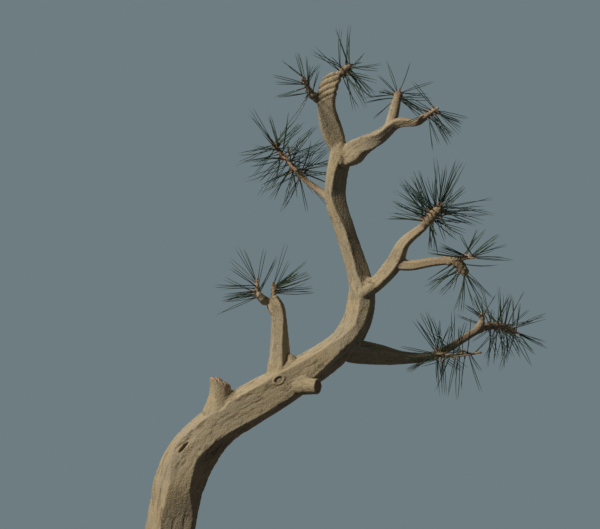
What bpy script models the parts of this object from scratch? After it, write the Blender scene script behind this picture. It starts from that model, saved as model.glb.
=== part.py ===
"""A leaning pine bonsai in a plain unglazed pot: pot, soil, trunk, boughs and tufts of needles.

Metres, +Z up. The origin is the centre of the pot's flat underside. The tree is seen from the front
along +Y: right is +X, and a point behind the trunk has a larger Y.
Sizes below are in millimetres, and MM turns them into metres.
"""

import math
import random
from collections import namedtuple

import bmesh
import bpy
from mathutils import Vector
from mathutils.geometry import intersect_line_line

MM = 0.001
CLEARANCE = 0.35
WELD = 0.01

# The pot: a rectangle with round corners, its walls leaning out to a lip.
POT_HEIGHT = 80
POT_HALF_LENGTH = 212
POT_HALF_DEPTH = 150
POT_CORNER = 34
POT_WALL = 9
POT_FLOOR = 14
FLOOR_ROUND = 5
EDGE_ROUND = 2
PLINTH_HEIGHT = 7
PLINTH_INSET = 16
BODY_LEAN = 13
LIP_HEIGHT = 15
LIP_LOW = POT_HEIGHT - LIP_HEIGHT
LIP_OVERHANG = 9
CORNER_STEPS = 6
WALL_RINGS = 5
DRAIN_RADIUS = 11
DRAIN_SIDES = 16
DRAIN_SPACING = 210

# The soil: flat at the walls, mounded round the foot of the trunk, and between them in low uneven
# heaps. A heap wave has a direction, a length and a start, and the heaps are where three waves meet.
SOIL_EDGE_HEIGHT = 72
SOIL_CROWN_HEIGHT = 84
SOIL_CROWN_RADIUS = 66
SOIL_RINGS = 8
SOIL_SIDE_POINTS = (16, 10)
HEAP_HEIGHT = 0.9
HeapWave = namedtuple("HeapWave", "facing length start")
HEAP_WAVES = [
    HeapWave(math.radians(12), 47, 0.4),
    HeapWave(math.radians(74), 53, 2.1),
    HeapWave(math.radians(137), 43, 4.0),
]

# The trunk's cross section is a soft five-sided one, whose flats turn slowly as it climbs.
TRUNK_FLATS = 5
TRUNK_SIDES = 20
FLAT_SHARPNESS = 11
FLAT_FACING = math.radians(8)
FLAT_TURN = math.radians(36)
FLAT_REACH = 0.97
FLARE_HEIGHT = 20
FLARE_BETWEEN_ROOTS = 0.3
ROOT_WIDTH = math.radians(30)
Root = namedtuple("Root", "facing spread")
ROOTS = [
    Root(math.radians(-98), 0.66),
    Root(math.radians(-26), 0.46),
    Root(math.radians(44), 0.60),
    Root(math.radians(116), 0.48),
    Root(math.radians(188), 0.56),
]

# A bend is a place on a limb's centre line and the limb's radius there.
Bend = namedtuple("Bend", "right back up radius")
FOOT = Bend(-105, 0, SOIL_CROWN_HEIGHT + CLEARANCE, 31)
TRUNK = [
    FOOT,
    Bend(-98, 0, 118, 30),
    Bend(-85, -1, 188, 29),
    Bend(-78, -4, 223, 29),
    Bend(-62, -6, 257, 27.5),
    Bend(-33, -8, 289, 23.5),
    Bend(7, -10, 316, 23),
    Bend(50, -10, 341, 21),
    Bend(110, 0, 381, 17),
    Bend(131, 4, 409, 16.2),
    Bend(139, 6, 438, 15.6),
    Bend(137, 8, 468, 12.8),
    Bend(121, 12, 520, 11.4),
    Bend(108, 14, 567, 11.8),
    Bend(115, 5, 620, 12.5),
]

# Each bough starts inside the limb that bears it and is cut back to that limb's surface.
BOUGHS = {
    "left_lower_bough": [
        Bend(40, -8, 346, 15), Bend(41, -2, 386, 10.9), Bend(39.5, 4, 420, 9), Bend(36.5, 6, 431, 9.6),
        Bend(33, 8, 438, 8.4),
    ],
    "right_lower_bough": [
        Bend(106, 0, 387, 11), Bend(124, 5, 380, 13.6), Bend(158, 20, 374, 11.8), Bend(191, 36, 369, 7.5),
        Bend(226, 52, 370, 5.4), Bend(252, 64, 381, 4.7), Bend(281, 78, 398, 4.5), Bend(292, 84, 403, 5.2),
    ],
    "right_upper_bough": [
        Bend(138, 6, 446, 9.5), Bend(160, -6, 463, 9), Bend(178, -20, 485, 9.8), Bend(188.5, -30, 508, 7.1),
        Bend(209, -38, 526, 5),
    ],
    "left_upper_bough": [
        Bend(109, 12, 556, 6), Bend(91, 25, 571, 4.2), Bend(70, 44, 588, 3.2),
    ],
    "crown_left_bough": [
        Bend(115, 5, 616, 9), Bend(104, 0, 643, 12), Bend(97, -10, 670, 10.2), Bend(99, -14, 694, 10.4),
        Bend(109, -12, 708, 6),
    ],
    "crown_right_bough": [
        Bend(122, 2, 612, 11.5), Bend(129, -3, 617, 13.5), Bend(140, -9, 625, 10.8), Bend(160, -22, 635, 8.2),
        Bend(180, -30, 650, 6), Bend(202, -42, 650, 4.2), Bend(210, -46, 655, 4.4),
    ],
}
SIDE_BOUGHS = {
    "right_middle_bough": ("right_upper_bough", [
        Bend(177, -20, 483, 6), Bend(195.8, -29, 482, 6.2), Bend(220.6, -42, 486, 5.3),
        Bend(239.9, -50, 487.9, 4.8),
    ]),
    "crown_right_spur": ("crown_right_bough", [
        Bend(171, -26, 647, 5.5), Bend(175.4, -16, 657.4, 6.4), Bend(181.4, 9, 680.2, 5.6),
    ]),
    "lower_right_spur": ("right_lower_bough", [
        Bend(284, 79, 400, 3.6), Bend(289, 78, 406, 4.8), Bend(293, 76, 413, 3.8),
    ]),
}

# A snapped dead stub, a sawn one, a healed knot and a split in the bark, all on the trunk.
DEAD_STUB = [Bend(-32, -8, 297, 24), Bend(-30, -10, 326, 13.5), Bend(-30, -11, 348, 12.5)]
DEAD_STUB_SLOPE = math.radians(32)
SLOPE_BLOCK = 40
SLOPE_PLACE = Vector((6, 0, 17))
PIT_RADIUS = 4.5
PIT_PLACE = Vector((1, -1, -5))
CUT_STUB = [Bend(44, -8, 340, 10), Bend(62, -19, 339, 11), Bend(86, -33, 339, 8.8)]
KNOT = Bend(40.5, -28.5, 346.5, 6)
KNOT_STRETCH = (1.1, 0.7, 0.9)
SPLIT = Bend(-72, -29, 267, 9)
SPLIT_STRETCH = (0.18, 0.9, 1)
SPLIT_LEAN = math.radians(38)

TRUNK_STEP = 17
BOUGH_STEP = 10
TWIG_STEP = 9
BOUGH_BEVEL = 3
TWIG_BEVEL = 1

# Needles: each one in this model stands for a pair. A tuft's twigs bear them from the share of their
# length named bare out to the tip, where they lean ahead by the least tilt, and by the most at the foot.
# A crowd over 1 draws them towards the foot. The tuft's pulls, taken in turn, bend them into fans.
NEEDLE_RADIUS = 0.95
NEEDLE_SINK = 0.3
NEEDLE_GAP = 2.3
LIMB_GAP = 1.2
GOLDEN_TURN = math.pi * (3 - math.sqrt(5))
TRIES_A_NEEDLE = 16
SHORTER = 0.96
Tuft = namedtuple("Tuft", "bearer twigs needles length bare crowd tilt pulls seed")
TUFTS = {
    "crown_left_needles": Tuft("crown_left_bough", [
        [Bend(92, -12, 676, 4.2), Bend(81, -19, 685, 3.2), Bend(69, -32, 700, 1.8)],
    ], 12, 42, 0.45, 1, (30, 105), [
        (0, 0, 0.6), (-0.7, 0, 0.3), (-1.3, 0, -0.6), (0.2, 0, 0.9)
    ], 11),
    "crown_top_needles": Tuft("crown_left_bough", [
        [Bend(106, -13, 705, 5), Bend(117, -5, 714, 4.8), Bend(126, 4, 722, 3.4)],
    ], 24, 50, 0.35, 1, (45, 118), [
        (1.7, -0.8, -0.9), (-0.25, 1.1, 0.9), (1.5, -0.8, -1.3), (-1.1, -0.2, 0.4), (0.8, -0.5, -1.4),
        (0.3, 1.1, 0.8)
    ], 31),
    "crown_right_needles": Tuft("crown_right_bough", [
        [Bend(207.6, -44.8, 653.5, 3.8), Bend(217, -54, 660, 3), Bend(224, -61, 664, 1.8)],
    ], 15, 40, 0.35, 1, (45, 125), [
        (1.8, 0, -1.3), (1.6, 0, -1.6), (-1.5, 0, 0.5), (1, 0, -1.8)
    ], 13),
    "crown_spur_needles": Tuft("crown_right_spur", [
        [Bend(181, 7.5, 678.5, 5), Bend(183.6, 15, 686, 5.6), Bend(185.5, 21, 692, 4.4)],
    ], 16, 42, 0.4, 1, (60, 110), [
        (1.6, 0.2, -0.35), (-1.4, 0.3, 0.3), (1.5, 0.1, -0.35), (0.1, 0.6, 1), (1, 0.2, -0.9),
        (-1.3, 0.3, 0.1)
    ], 14),
    "right_upper_needles": Tuft("right_upper_bough", [
        [Bend(207, -36.6, 524.5, 4.6), Bend(218.5, -44, 537.3, 5.8), Bend(230, -54, 551.5, 5)],
    ], 56, 55, 0.3, 1, (18, 108), [
        (-1.6, 0, 0.4), (-0.2, 0.2, 1.2), (0.9, -0.2, -0.4), (0.5, 0.2, -1.3), (-1, 0, 0.7),
        (0.45, 0, 0.75), (0.1, 0, 1.3), (0.9, 0.2, -0.9)
    ], 15),
    "right_middle_needles": Tuft("right_middle_bough", [
        [Bend(238.5, -50, 487.8, 3.7), Bend(250.1, -54, 485, 6), Bend(260.4, -52, 470.2, 4.4)],
        [Bend(247.6, -56, 487.4, 3.4), Bend(257.2, -64, 491.8, 3.2), Bend(262.5, -72, 490.9, 2)],
    ], 30, 50, 0.32, 1, (30, 115), [
        (-1.1, 0, -0.8), (0.9, 0, 0.45), (-0.5, 0, -1.1), (-1, 0, 1), (0.9, 0, -0.3), (0.1, 0, 0.9)
    ], 16),
    "right_lower_needles": Tuft("right_lower_bough", [
        [Bend(289.5, 82.7, 401.9, 4.5), Bend(313, 95, 406, 4.2), Bend(339, 105, 397, 3.2)],
    ], 48, 48, 0.2, 1, (50, 112), [
        (-0.3, 0.4, 1), (0, 0, -1), (0.2, 0.3, 1), (0.3, 0, -0.8), (0.8, 0, 0.4), (-0.3, -0.1, -0.9)
    ], 17),
    "lower_spur_needles": Tuft("lower_right_spur", [
        [Bend(292.6, 76.2, 411.4, 3.2), Bend(293, 75, 416, 3), Bend(293, 74, 420, 2)],
    ], 6, 28, 0.35, 1, (40, 90), [
        (-0.9, 0, 0.4), (0, 0, 0.5)
    ], 18),
    "lower_twig_needles": Tuft("right_lower_bough", [
        [Bend(231, 54, 372, 3.4), Bend(237, 38, 374, 2.6), Bend(254, 28, 372, 1.9), Bend(282, 20, 376, 1.2)],
    ], 38, 52, 0.14, 1.7, (65, 118), [
        (0.1, 0, 1.6), (-0.4, 0, -1), (0.2, 0, 1.5), (0.3, 0, -0.9), (0, 0, -1), (-1.4, 0, 0.15)
    ], 19),
    "left_lower_needles": Tuft("left_lower_bough", [
        [Bend(33, 7, 436, 5), Bend(23, 4, 439.5, 4.4), Bend(15.5, 0, 446, 3.6), Bend(14, -3, 462, 2.2)],
        [Bend(32, 8, 440, 4.4), Bend(33.5, 9, 448, 3.4), Bend(33, 9, 457, 2.2)],
    ], 30, 51, 0.5, 1, (40, 100), [
        (-1.4, 0, -0.5), (1.3, 0, 0.25), (-1.2, 0, -0.1), (1.2, 0, 0.4), (-0.3, 0, 0.8), (1, 0, 0)
    ], 20),
    "left_upper_needles": Tuft("left_upper_bough", [
        [Bend(72, 42.2, 586.4, 3), Bend(54, 59, 607, 2.9), Bend(32, 78, 633, 1.8)],
    ], 66, 55, 0.1, 1, (60, 115), [
        (0.7, 0, 0.6), (-0.5, 0, -0.8), (0.7, 0, 0.5), (-0.7, 0, -0.4), (0.6, 0, 0.7), (-0.3, 0, -1),
        (-0.4, 0, 0.3)
    ], 21),
}

FINISHES = {
    "clay": ((0.20, 0.085, 0.05), 0.72),
    "soil": ((0.16, 0.10, 0.06), 0.95),
    "bark": ((0.36, 0.27, 0.16), 0.88),
    "needles": ((0.035, 0.065, 0.03), 0.6),
}


def clear_scene():
    for thing in list(bpy.data.objects):
        bpy.data.objects.remove(thing)


def new_collection(name):
    group = bpy.data.collections.new(name)
    bpy.context.scene.collection.children.link(group)
    return group


def finish(name):
    """A Principled material with the colour and roughness of one finish."""
    made = bpy.data.materials.get(name)
    if made is None:
        colour, roughness = FINISHES[name]
        made = bpy.data.materials.new(name)
        made.use_nodes = True
        shader = made.node_tree.nodes["Principled BSDF"]
        shader.inputs["Base Color"].default_value = (*colour, 1)
        shader.inputs["Roughness"].default_value = roughness
    return made


def add_mesh(name, mesh, group, material):
    thing = bpy.data.objects.new(name, mesh)
    group.objects.link(thing)
    mesh.materials.clear()
    mesh.materials.append(finish(material))
    return thing


def mesh_of(form):
    """A Blender mesh made from a bmesh, its faces pointing out."""
    bmesh.ops.recalc_face_normals(form, faces=form.faces[:])
    mesh = bpy.data.meshes.new("form")
    form.to_mesh(mesh)
    form.free()
    return mesh


def loft(rings):
    """A closed skin over rings of equal count, with a flat face on the first and the last."""
    form = bmesh.new()
    rows = [[form.verts.new(point * MM) for point in ring] for ring in rings]
    for low, high in zip(rows, rows[1:]):
        for i in range(len(low)):
            j = (i + 1) % len(low)
            form.faces.new((low[i], low[j], high[j], high[i]))
    form.faces.new(rows[0])
    form.faces.new(rows[-1])
    return mesh_of(form)


def boolean(thing, operation, other):
    """Applies a Boolean between a mesh object and another object or a whole collection."""
    step = thing.modifiers.new(operation.lower(), "BOOLEAN")
    step.operation = operation
    step.solver = "EXACT"
    if isinstance(other, bpy.types.Collection):
        step.operand_type = "COLLECTION"
        step.collection = other
    else:
        step.object = other
    graph = bpy.context.evaluated_depsgraph_get()
    joined = bpy.data.meshes.new_from_object(thing.evaluated_get(graph))
    thing.modifiers.clear()
    thing.data = joined


def remove_objects(things):
    for thing in list(things):
        bpy.data.objects.remove(thing)


# Limbs

def centre(bend):
    return Vector((bend.right, bend.back, bend.up))


def between(a, b, c, d, t):
    """A Catmull-Rom value between b and c."""
    square = 2 * a - 5 * b + 4 * c - d
    cube = 3 * b - a - 3 * c + d
    return 0.5 * (2 * b + (c - a) * t + square * t ** 2 + cube * t ** 3)


def smooth_line(bends, spacing):
    """More bends, about evenly spaced on a smooth line through the given ones."""
    line = []
    last = len(bends) - 1
    for i in range(last):
        four = [bends[max(i - 1, 0)], bends[i], bends[i + 1], bends[min(i + 2, last)]]
        steps = max(1, round((centre(bends[i + 1]) - centre(bends[i])).length / spacing))
        for k in range(steps):
            line.append(Bend(*(between(*values, k / steps) for values in zip(*four))))
    return line + [bends[-1]]


def tube(name, bends, group, spacing=BOUGH_STEP, bevel=BOUGH_BEVEL, material="bark"):
    """A round tapering limb, made as a curve with a bevel and turned into a closed mesh."""
    line = smooth_line(bends, spacing)
    curve = bpy.data.curves.new(name, "CURVE")
    curve.dimensions = "3D"
    curve.bevel_depth = MM
    curve.bevel_resolution = bevel
    curve.use_fill_caps = True
    spline = curve.splines.new("POLY")
    spline.points.add(len(line) - 1)
    for point, bend in zip(spline.points, line):
        point.co = (*(centre(bend) * MM), 1)
        point.radius = bend.radius
    guide = bpy.data.objects.new(name + "_guide", curve)
    group.objects.link(guide)
    graph = bpy.context.evaluated_depsgraph_get()
    mesh = bpy.data.meshes.new_from_object(guide.evaluated_get(graph))
    bpy.data.objects.remove(guide)
    form = bmesh.new()
    form.from_mesh(mesh)
    bmesh.ops.remove_doubles(form, verts=form.verts[:], dist=WELD * MM)
    return add_mesh(name, mesh_of(form), group, material)


def flat_sided(angle, facing):
    """The distance from centre to skin of a soft-cornered section of unit half width."""
    total = 0
    for k in range(TRUNK_FLATS):
        share = math.cos(angle - facing - k * math.tau / TRUNK_FLATS)
        total += max(share, 0) ** FLAT_SHARPNESS
    return total ** (-1 / FLAT_SHARPNESS)


def root_spread(angle, height):
    """How far the skin stands out over the surface roots, which fade as the trunk rises."""
    widest = FLARE_BETWEEN_ROOTS
    for root in ROOTS:
        turn = (angle - root.facing + math.pi) % math.tau - math.pi
        widest = max(widest, root.spread * math.exp(-((turn / ROOT_WIDTH) ** 2)))
    return 1 + widest * math.exp(-height / FLARE_HEIGHT)


def trunk_rings():
    """Sections square to the trunk's line. Angles run from the front of the tree towards its right side."""
    line = smooth_line(TRUNK, TRUNK_STEP)
    rings = []
    for i, bend in enumerate(line):
        ahead = centre(line[min(i + 1, len(line) - 1)]) - centre(line[max(i - 1, 0)])
        ahead = Vector((0, 0, 1)) if i == 0 else ahead.normalized()
        front = (Vector((0, -1, 0)) - ahead * ahead.dot(Vector((0, -1, 0)))).normalized()
        side = ahead.cross(front)
        facing = FLAT_FACING + FLAT_TURN * i / (len(line) - 1)
        height = bend.up - FOOT.up
        ring = []
        for k in range(TRUNK_SIDES):
            angle = k * math.tau / TRUNK_SIDES + facing
            reach = bend.radius * FLAT_REACH * flat_sided(angle, facing) * root_spread(angle, height)
            ring.append(centre(bend) + (front * math.cos(angle) + side * math.sin(angle)) * reach)
        rings.append(ring)
    return rings


def swollen_copy(thing, group):
    """A copy of a limb grown by the clearance, to cut its neighbours with."""
    copy = bpy.data.objects.new(thing.name + "_cutter", thing.data.copy())
    group.objects.link(copy)
    form = bmesh.new()
    form.from_mesh(copy.data)
    form.normal_update()
    moved = [vert.co + vert.normal * CLEARANCE * MM for vert in form.verts]
    for vert, place in zip(form.verts, moved):
        vert.co = place
    form.to_mesh(copy.data)
    form.free()
    copy.hide_render = True
    copy.display_type = "WIRE"
    return copy


def ball(name, place, radius, group):
    form = bmesh.new()
    bmesh.ops.create_uvsphere(form, u_segments=10, v_segments=6, radius=radius * MM)
    thing = add_mesh(name, mesh_of(form), group, "bark")
    thing.location = place * MM
    return thing


def build_trunk(parts, helpers):
    """The trunk, with two old stubs and a knot fused on and a split cut in. The snapped stub is cut
    aslant and hollowed."""
    trunk = add_mesh("trunk", loft(trunk_rings()), parts, "bark")
    dead = tube("dead_stub", DEAD_STUB, helpers)
    sawn = tube("cut_stub", CUT_STUB, helpers)
    tip = centre(DEAD_STUB[-1])
    bpy.ops.mesh.primitive_cube_add(size=SLOPE_BLOCK * MM, location=(tip + SLOPE_PLACE) * MM)
    slope = bpy.context.object
    slope.rotation_euler = (0, DEAD_STUB_SLOPE, 0)
    pit = ball("pit", tip + PIT_PLACE, PIT_RADIUS, helpers)
    knot = ball("knot", centre(KNOT), KNOT.radius, helpers)
    knot.scale = KNOT_STRETCH
    split = ball("split", centre(SPLIT), SPLIT.radius, helpers)
    split.scale = SPLIT_STRETCH
    split.rotation_euler = (0, SPLIT_LEAN, 0)
    bpy.context.view_layer.update()
    boolean(dead, "DIFFERENCE", slope)
    boolean(dead, "DIFFERENCE", pit)
    for stub in (dead, sawn, knot):
        boolean(trunk, "UNION", stub)
    boolean(trunk, "DIFFERENCE", split)
    remove_objects([dead, sawn, knot, split, slope, pit])
    return trunk


def build_boughs(parts, helpers, trunk):
    """Every bough, cut back clear of the trunk, of the fork's other arm and of the bough that bears it."""
    boughs = {name: tube(name, bends, parts) for name, bends in BOUGHS.items()}
    trunk_cutter = swollen_copy(trunk, helpers)
    for bough in boughs.values():
        boolean(bough, "DIFFERENCE", trunk_cutter)
    fork_cutter = swollen_copy(boughs["crown_left_bough"], helpers)
    boolean(boughs["crown_right_bough"], "DIFFERENCE", fork_cutter)
    for name, (bearer, bends) in SIDE_BOUGHS.items():
        boughs[name] = tube(name, bends, parts)
        boolean(boughs[name], "DIFFERENCE", swollen_copy(boughs[bearer], helpers))
    return boughs


# Needle tufts

def all_limb_lines():
    """Every limb as short straight pieces with a radius, for keeping needles clear of them."""
    limbs = [TRUNK, CUT_STUB, DEAD_STUB, *BOUGHS.values(), *(bends for _, bends in SIDE_BOUGHS.values())]
    pieces = []
    for bends in limbs:
        line = smooth_line(bends, 2 * BOUGH_STEP)
        pieces += [(centre(a), centre(b), max(a.radius, b.radius)) for a, b in zip(line, line[1:])]
    return pieces


def distance(a, b, c, d):
    """The shortest distance between the straight pieces a-b and c-d."""
    found = min(
        (point - near(point, start, end)).length
        for point, start, end in ((a, c, d), (b, c, d), (c, a, b), (d, a, b))
    )
    crossing = intersect_line_line(a, b, c, d)
    if crossing:
        first, second = crossing
        if within(first, a, b) and within(second, c, d):
            found = min(found, (first - second).length)
    return found


def within(point, start, end):
    along = (end - start)
    return 0 <= (point - start).dot(along) <= along.length_squared


def near(point, start, end):
    """The point nearest to a given one on a straight piece."""
    along = end - start
    share = (point - start).dot(along) / along.length_squared
    return start + along * min(max(share, 0), 1)


def middle_of(tuft):
    places = [centre(bend) for twig in tuft.twigs for bend in twig[1:]]
    return sum(places, Vector()) / len(places)


def owns(name, point):
    """Whether a point lies in a tuft's own space: nearer to it than to any other, measured by its reach."""
    shares = {other: (point - middle_of(tuft)).length / (tuft.length + 10) for other, tuft in TUFTS.items()}
    return min(shares, key=shares.get) == name


def along_twig(twig, share):
    """Place, direction and radius at a share of a twig's length."""
    line = smooth_line(twig, TWIG_STEP)
    lengths = [(centre(b) - centre(a)).length for a, b in zip(line, line[1:])]
    left = share * sum(lengths)
    for a, b, length in zip(line, line[1:], lengths):
        if left <= length or b is line[-1]:
            t = min(left / length, 1)
            ahead = (centre(b) - centre(a)).normalized()
            return centre(a).lerp(centre(b), t), ahead, a.radius + (b.radius - a.radius) * t
        left -= length


def needle_lines(name, tuft, limbs, taken):
    """Root and tip of each needle of a tuft. Needles climb their twig in a spiral, by the golden angle.
    One that leaves the tuft's space, comes near a limb or meets another tuft's needle is tried again a
    little further round and a little shorter, and at last skipped."""
    chance = random.Random(tuft.seed)
    least, most = tuft.tilt
    lines = []
    for k in range(tuft.needles):
        twig = tuft.twigs[k % len(tuft.twigs)]
        pull = Vector(tuft.pulls[k % len(tuft.pulls)])
        for attempt in range(TRIES_A_NEEDLE):
            outer = ((k + chance.uniform(0.1, 0.9)) / tuft.needles) ** tuft.crowd
            root, ahead, radius = along_twig(twig, tuft.bare + (0.97 - tuft.bare) * outer)
            tilt = math.radians(most + (least - most) * outer ** 1.5 + chance.uniform(-14, 14))
            turn = k * GOLDEN_TURN + chance.uniform(-0.3, 0.3) * (1 + attempt)
            across = ahead.orthogonal().normalized()
            out = across * math.cos(turn) + ahead.cross(across) * math.sin(turn)
            way = (ahead * math.cos(tilt) + out * math.sin(tilt) + pull).normalized()
            reach = tuft.length * chance.uniform(0.78, 1.04) * SHORTER ** attempt
            tip = root + way * (reach + radius)
            start = root + way * min(radius, 2)
            if not owns(name, tip):
                continue
            if any(distance(start, tip, a, b) < r * 1.12 + LIMB_GAP for a, b, r in limbs):
                continue
            if any(distance(root, tip, a, b) < NEEDLE_GAP for a, b in taken):
                continue
            lines.append((root - way * NEEDLE_SINK, tip))
            break
    return lines


def needle(root, tip, group):
    """One needle: a three-sided cone with a sharp tip."""
    way = tip - root
    form = bmesh.new()
    bmesh.ops.create_cone(
        form, cap_ends=True, segments=3, radius1=NEEDLE_RADIUS * MM, radius2=0, depth=way.length * MM
    )
    bmesh.ops.remove_doubles(form, verts=form.verts[:], dist=WELD * MM)
    thing = add_mesh("needle", mesh_of(form), group, "needles")
    thing.rotation_mode = "QUATERNION"
    thing.rotation_quaternion = way.to_track_quat("Z", "Y")
    thing.location = (root + tip) / 2 * MM
    return thing


def build_tufts(parts, helpers, boughs):
    """Each tuft as one solid: its twigs and needles joined, the foot cut clear of the limb that bears it."""
    limbs = all_limb_lines()
    taken = []
    cutters = {name: swollen_copy(bough, helpers) for name, bough in boughs.items()}
    for name, tuft in TUFTS.items():
        stem, *others = [tube(name, twig, parts, TWIG_STEP, TWIG_BEVEL, "needles") for twig in tuft.twigs]
        for other in others:
            boolean(stem, "UNION", other)
        remove_objects(others)
        boolean(stem, "DIFFERENCE", cutters[tuft.bearer])
        lines = needle_lines(name, tuft, limbs, taken)
        own = new_collection(name + "_pieces")
        for root, tip in lines:
            needle(root, tip, own)
        bpy.context.view_layer.update()
        boolean(stem, "UNION", own)
        remove_objects(own.objects)
        bpy.data.collections.remove(own)
        stem.name = name
        taken += lines
        print(name, len(lines), "of", tuft.needles, "needles,", len(stem.data.polygons), "faces")


# Pot and soil

def round_rectangle(half_length, half_depth, corner, height):
    """A ring of points round a rectangle with round corners, level at one height."""
    ring = []
    quarters = [(1, 1, 0), (-1, 1, 90), (-1, -1, 180), (1, -1, 270)]
    for x_side, y_side, start in quarters:
        for k in range(CORNER_STEPS):
            angle = math.radians(start + 90 * k / (CORNER_STEPS - 1))
            x = x_side * (half_length - corner) + corner * math.cos(angle)
            y = y_side * (half_depth - corner) + corner * math.sin(angle)
            ring.append(Vector((x, y, height)))
    return ring


def pot_ring(inset, height):
    """A ring of the pot, standing in from its widest wall line. Corners get tighter as it comes in."""
    return round_rectangle(POT_HALF_LENGTH - inset, POT_HALF_DEPTH - inset, POT_CORNER - inset / 2, height)


def wall_inset(height):
    """How far the outer face stands in at a height, as the wall leans out in a slight curve."""
    share = (height - PLINTH_HEIGHT) / (LIP_LOW - PLINTH_HEIGHT)
    return BODY_LEAN * (1 - share) ** 1.6


def wall_rings(first, last, count, inset):
    """Rings that follow the lean of the wall between two heights, a set distance inside it."""
    heights = [first + (last - first) * k / (count - 1) for k in range(count)]
    return [pot_ring(wall_inset(height) + inset, height) for height in heights]


def build_pot(parts):
    """Foot plinth, leaning walls and a thick lip in one skin, then two drainage holes in the floor."""
    foot = PLINTH_INSET + BODY_LEAN
    rings = [pot_ring(foot, 0), pot_ring(foot - 1, PLINTH_HEIGHT - 1)]
    rings.append(pot_ring(BODY_LEAN + EDGE_ROUND, PLINTH_HEIGHT))
    rings += wall_rings(PLINTH_HEIGHT + EDGE_ROUND, LIP_LOW - EDGE_ROUND / 2, WALL_RINGS, 0)
    rings.append(pot_ring(EDGE_ROUND - LIP_OVERHANG, LIP_LOW))
    rings.append(pot_ring(-LIP_OVERHANG, LIP_LOW + EDGE_ROUND))
    rings.append(pot_ring(-LIP_OVERHANG, POT_HEIGHT - EDGE_ROUND))
    rings.append(pot_ring(EDGE_ROUND - LIP_OVERHANG, POT_HEIGHT))
    rings.append(pot_ring(POT_WALL - EDGE_ROUND, POT_HEIGHT))
    rings.append(pot_ring(POT_WALL, POT_HEIGHT - EDGE_ROUND))
    rings += wall_rings(LIP_LOW, POT_FLOOR + FLOOR_ROUND, 3, POT_WALL)
    rings.append(pot_ring(BODY_LEAN + POT_WALL + FLOOR_ROUND, POT_FLOOR))
    pot = add_mesh("pot", loft(rings), parts, "clay")
    depth = 4 * POT_FLOOR * MM
    for side in (-1, 1):
        bpy.ops.mesh.primitive_cylinder_add(vertices=DRAIN_SIDES, radius=DRAIN_RADIUS * MM, depth=depth)
        drain = bpy.context.object
        drain.location.x = side * DRAIN_SPACING / 2 * MM
        bpy.context.view_layer.update()
        boolean(pot, "DIFFERENCE", drain)
        bpy.data.objects.remove(drain)


def with_side_points(ring):
    """A round rectangle's ring with more points along its four straight sides."""
    result = []
    for i, point in enumerate(ring):
        result.append(point)
        corner, place = divmod(i, CORNER_STEPS)
        if place == CORNER_STEPS - 1:
            after = ring[(i + 1) % len(ring)]
            count = SOIL_SIDE_POINTS[corner % 2]
            result += [point.lerp(after, k / (count + 1)) for k in range(1, count + 1)]
    return result


def heap(place):
    """How far the loose heaps lift or lower the soil at a place."""
    total = 0
    for wave in HEAP_WAVES:
        along = place.x * math.cos(wave.facing) + place.y * math.sin(wave.facing)
        total += math.sin(along * math.tau / wave.length + wave.start)
    return total * HEAP_HEIGHT


def build_soil(parts):
    """The soil fills the pot with a hair of clearance and rises to a flat seat under the trunk."""
    inset = POT_WALL + CLEARANCE
    rings = [pot_ring(BODY_LEAN + inset + FLOOR_ROUND, POT_FLOOR + CLEARANCE)]
    rings += wall_rings(POT_FLOOR + FLOOR_ROUND + CLEARANCE, LIP_LOW, 3, inset)
    rings = [with_side_points(ring) for ring in rings]
    edge = with_side_points(pot_ring(inset, SOIL_EDGE_HEIGHT))
    foot = Vector((FOOT.right, FOOT.back, 0))
    for k in range(SOIL_RINGS + 1):
        share = k / SOIL_RINGS
        rise = share * share * (3 - 2 * share)
        loose = 1 - (2 * share - 1) ** 4
        ring = []
        for point in edge:
            out = (point - foot).xy.normalized() * SOIL_CROWN_RADIUS
            crown = Vector((foot.x + out.x, foot.y + out.y, SOIL_CROWN_HEIGHT))
            place = point.lerp(crown, share)
            place.z = SOIL_EDGE_HEIGHT + (SOIL_CROWN_HEIGHT - SOIL_EDGE_HEIGHT) * rise + heap(place) * loose
            ring.append(place)
        rings.append(ring)
    add_mesh("soil", loft(rings), parts, "soil")


def main():
    clear_scene()
    parts = new_collection("pine_bonsai")
    helpers = new_collection("helpers")
    build_pot(parts)
    build_soil(parts)
    trunk = build_trunk(parts, helpers)
    boughs = build_boughs(parts, helpers, trunk)
    build_tufts(parts, helpers, boughs)
    remove_objects(helpers.objects)
    for thing in parts.objects:
        thing.data.shade_smooth()
        thing.data.set_sharp_from_angle(angle=math.radians(40))


main()
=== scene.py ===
# %% [markdown]
# # A leaning pine bonsai
# This is a pine kept small in a shallow pot of unglazed clay. One trunk leans out of the pot, rises at
# an elbow and forks into a thin crown, and every bough ends in a tuft of paired needles.
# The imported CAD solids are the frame, and each piece made here goes where its solid is. Lengths are
# written in millimetres, and MM turns them into Blender's metres.

import math
import random
from collections import namedtuple

import bpy
import numpy as np
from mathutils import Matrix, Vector, noise


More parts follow.
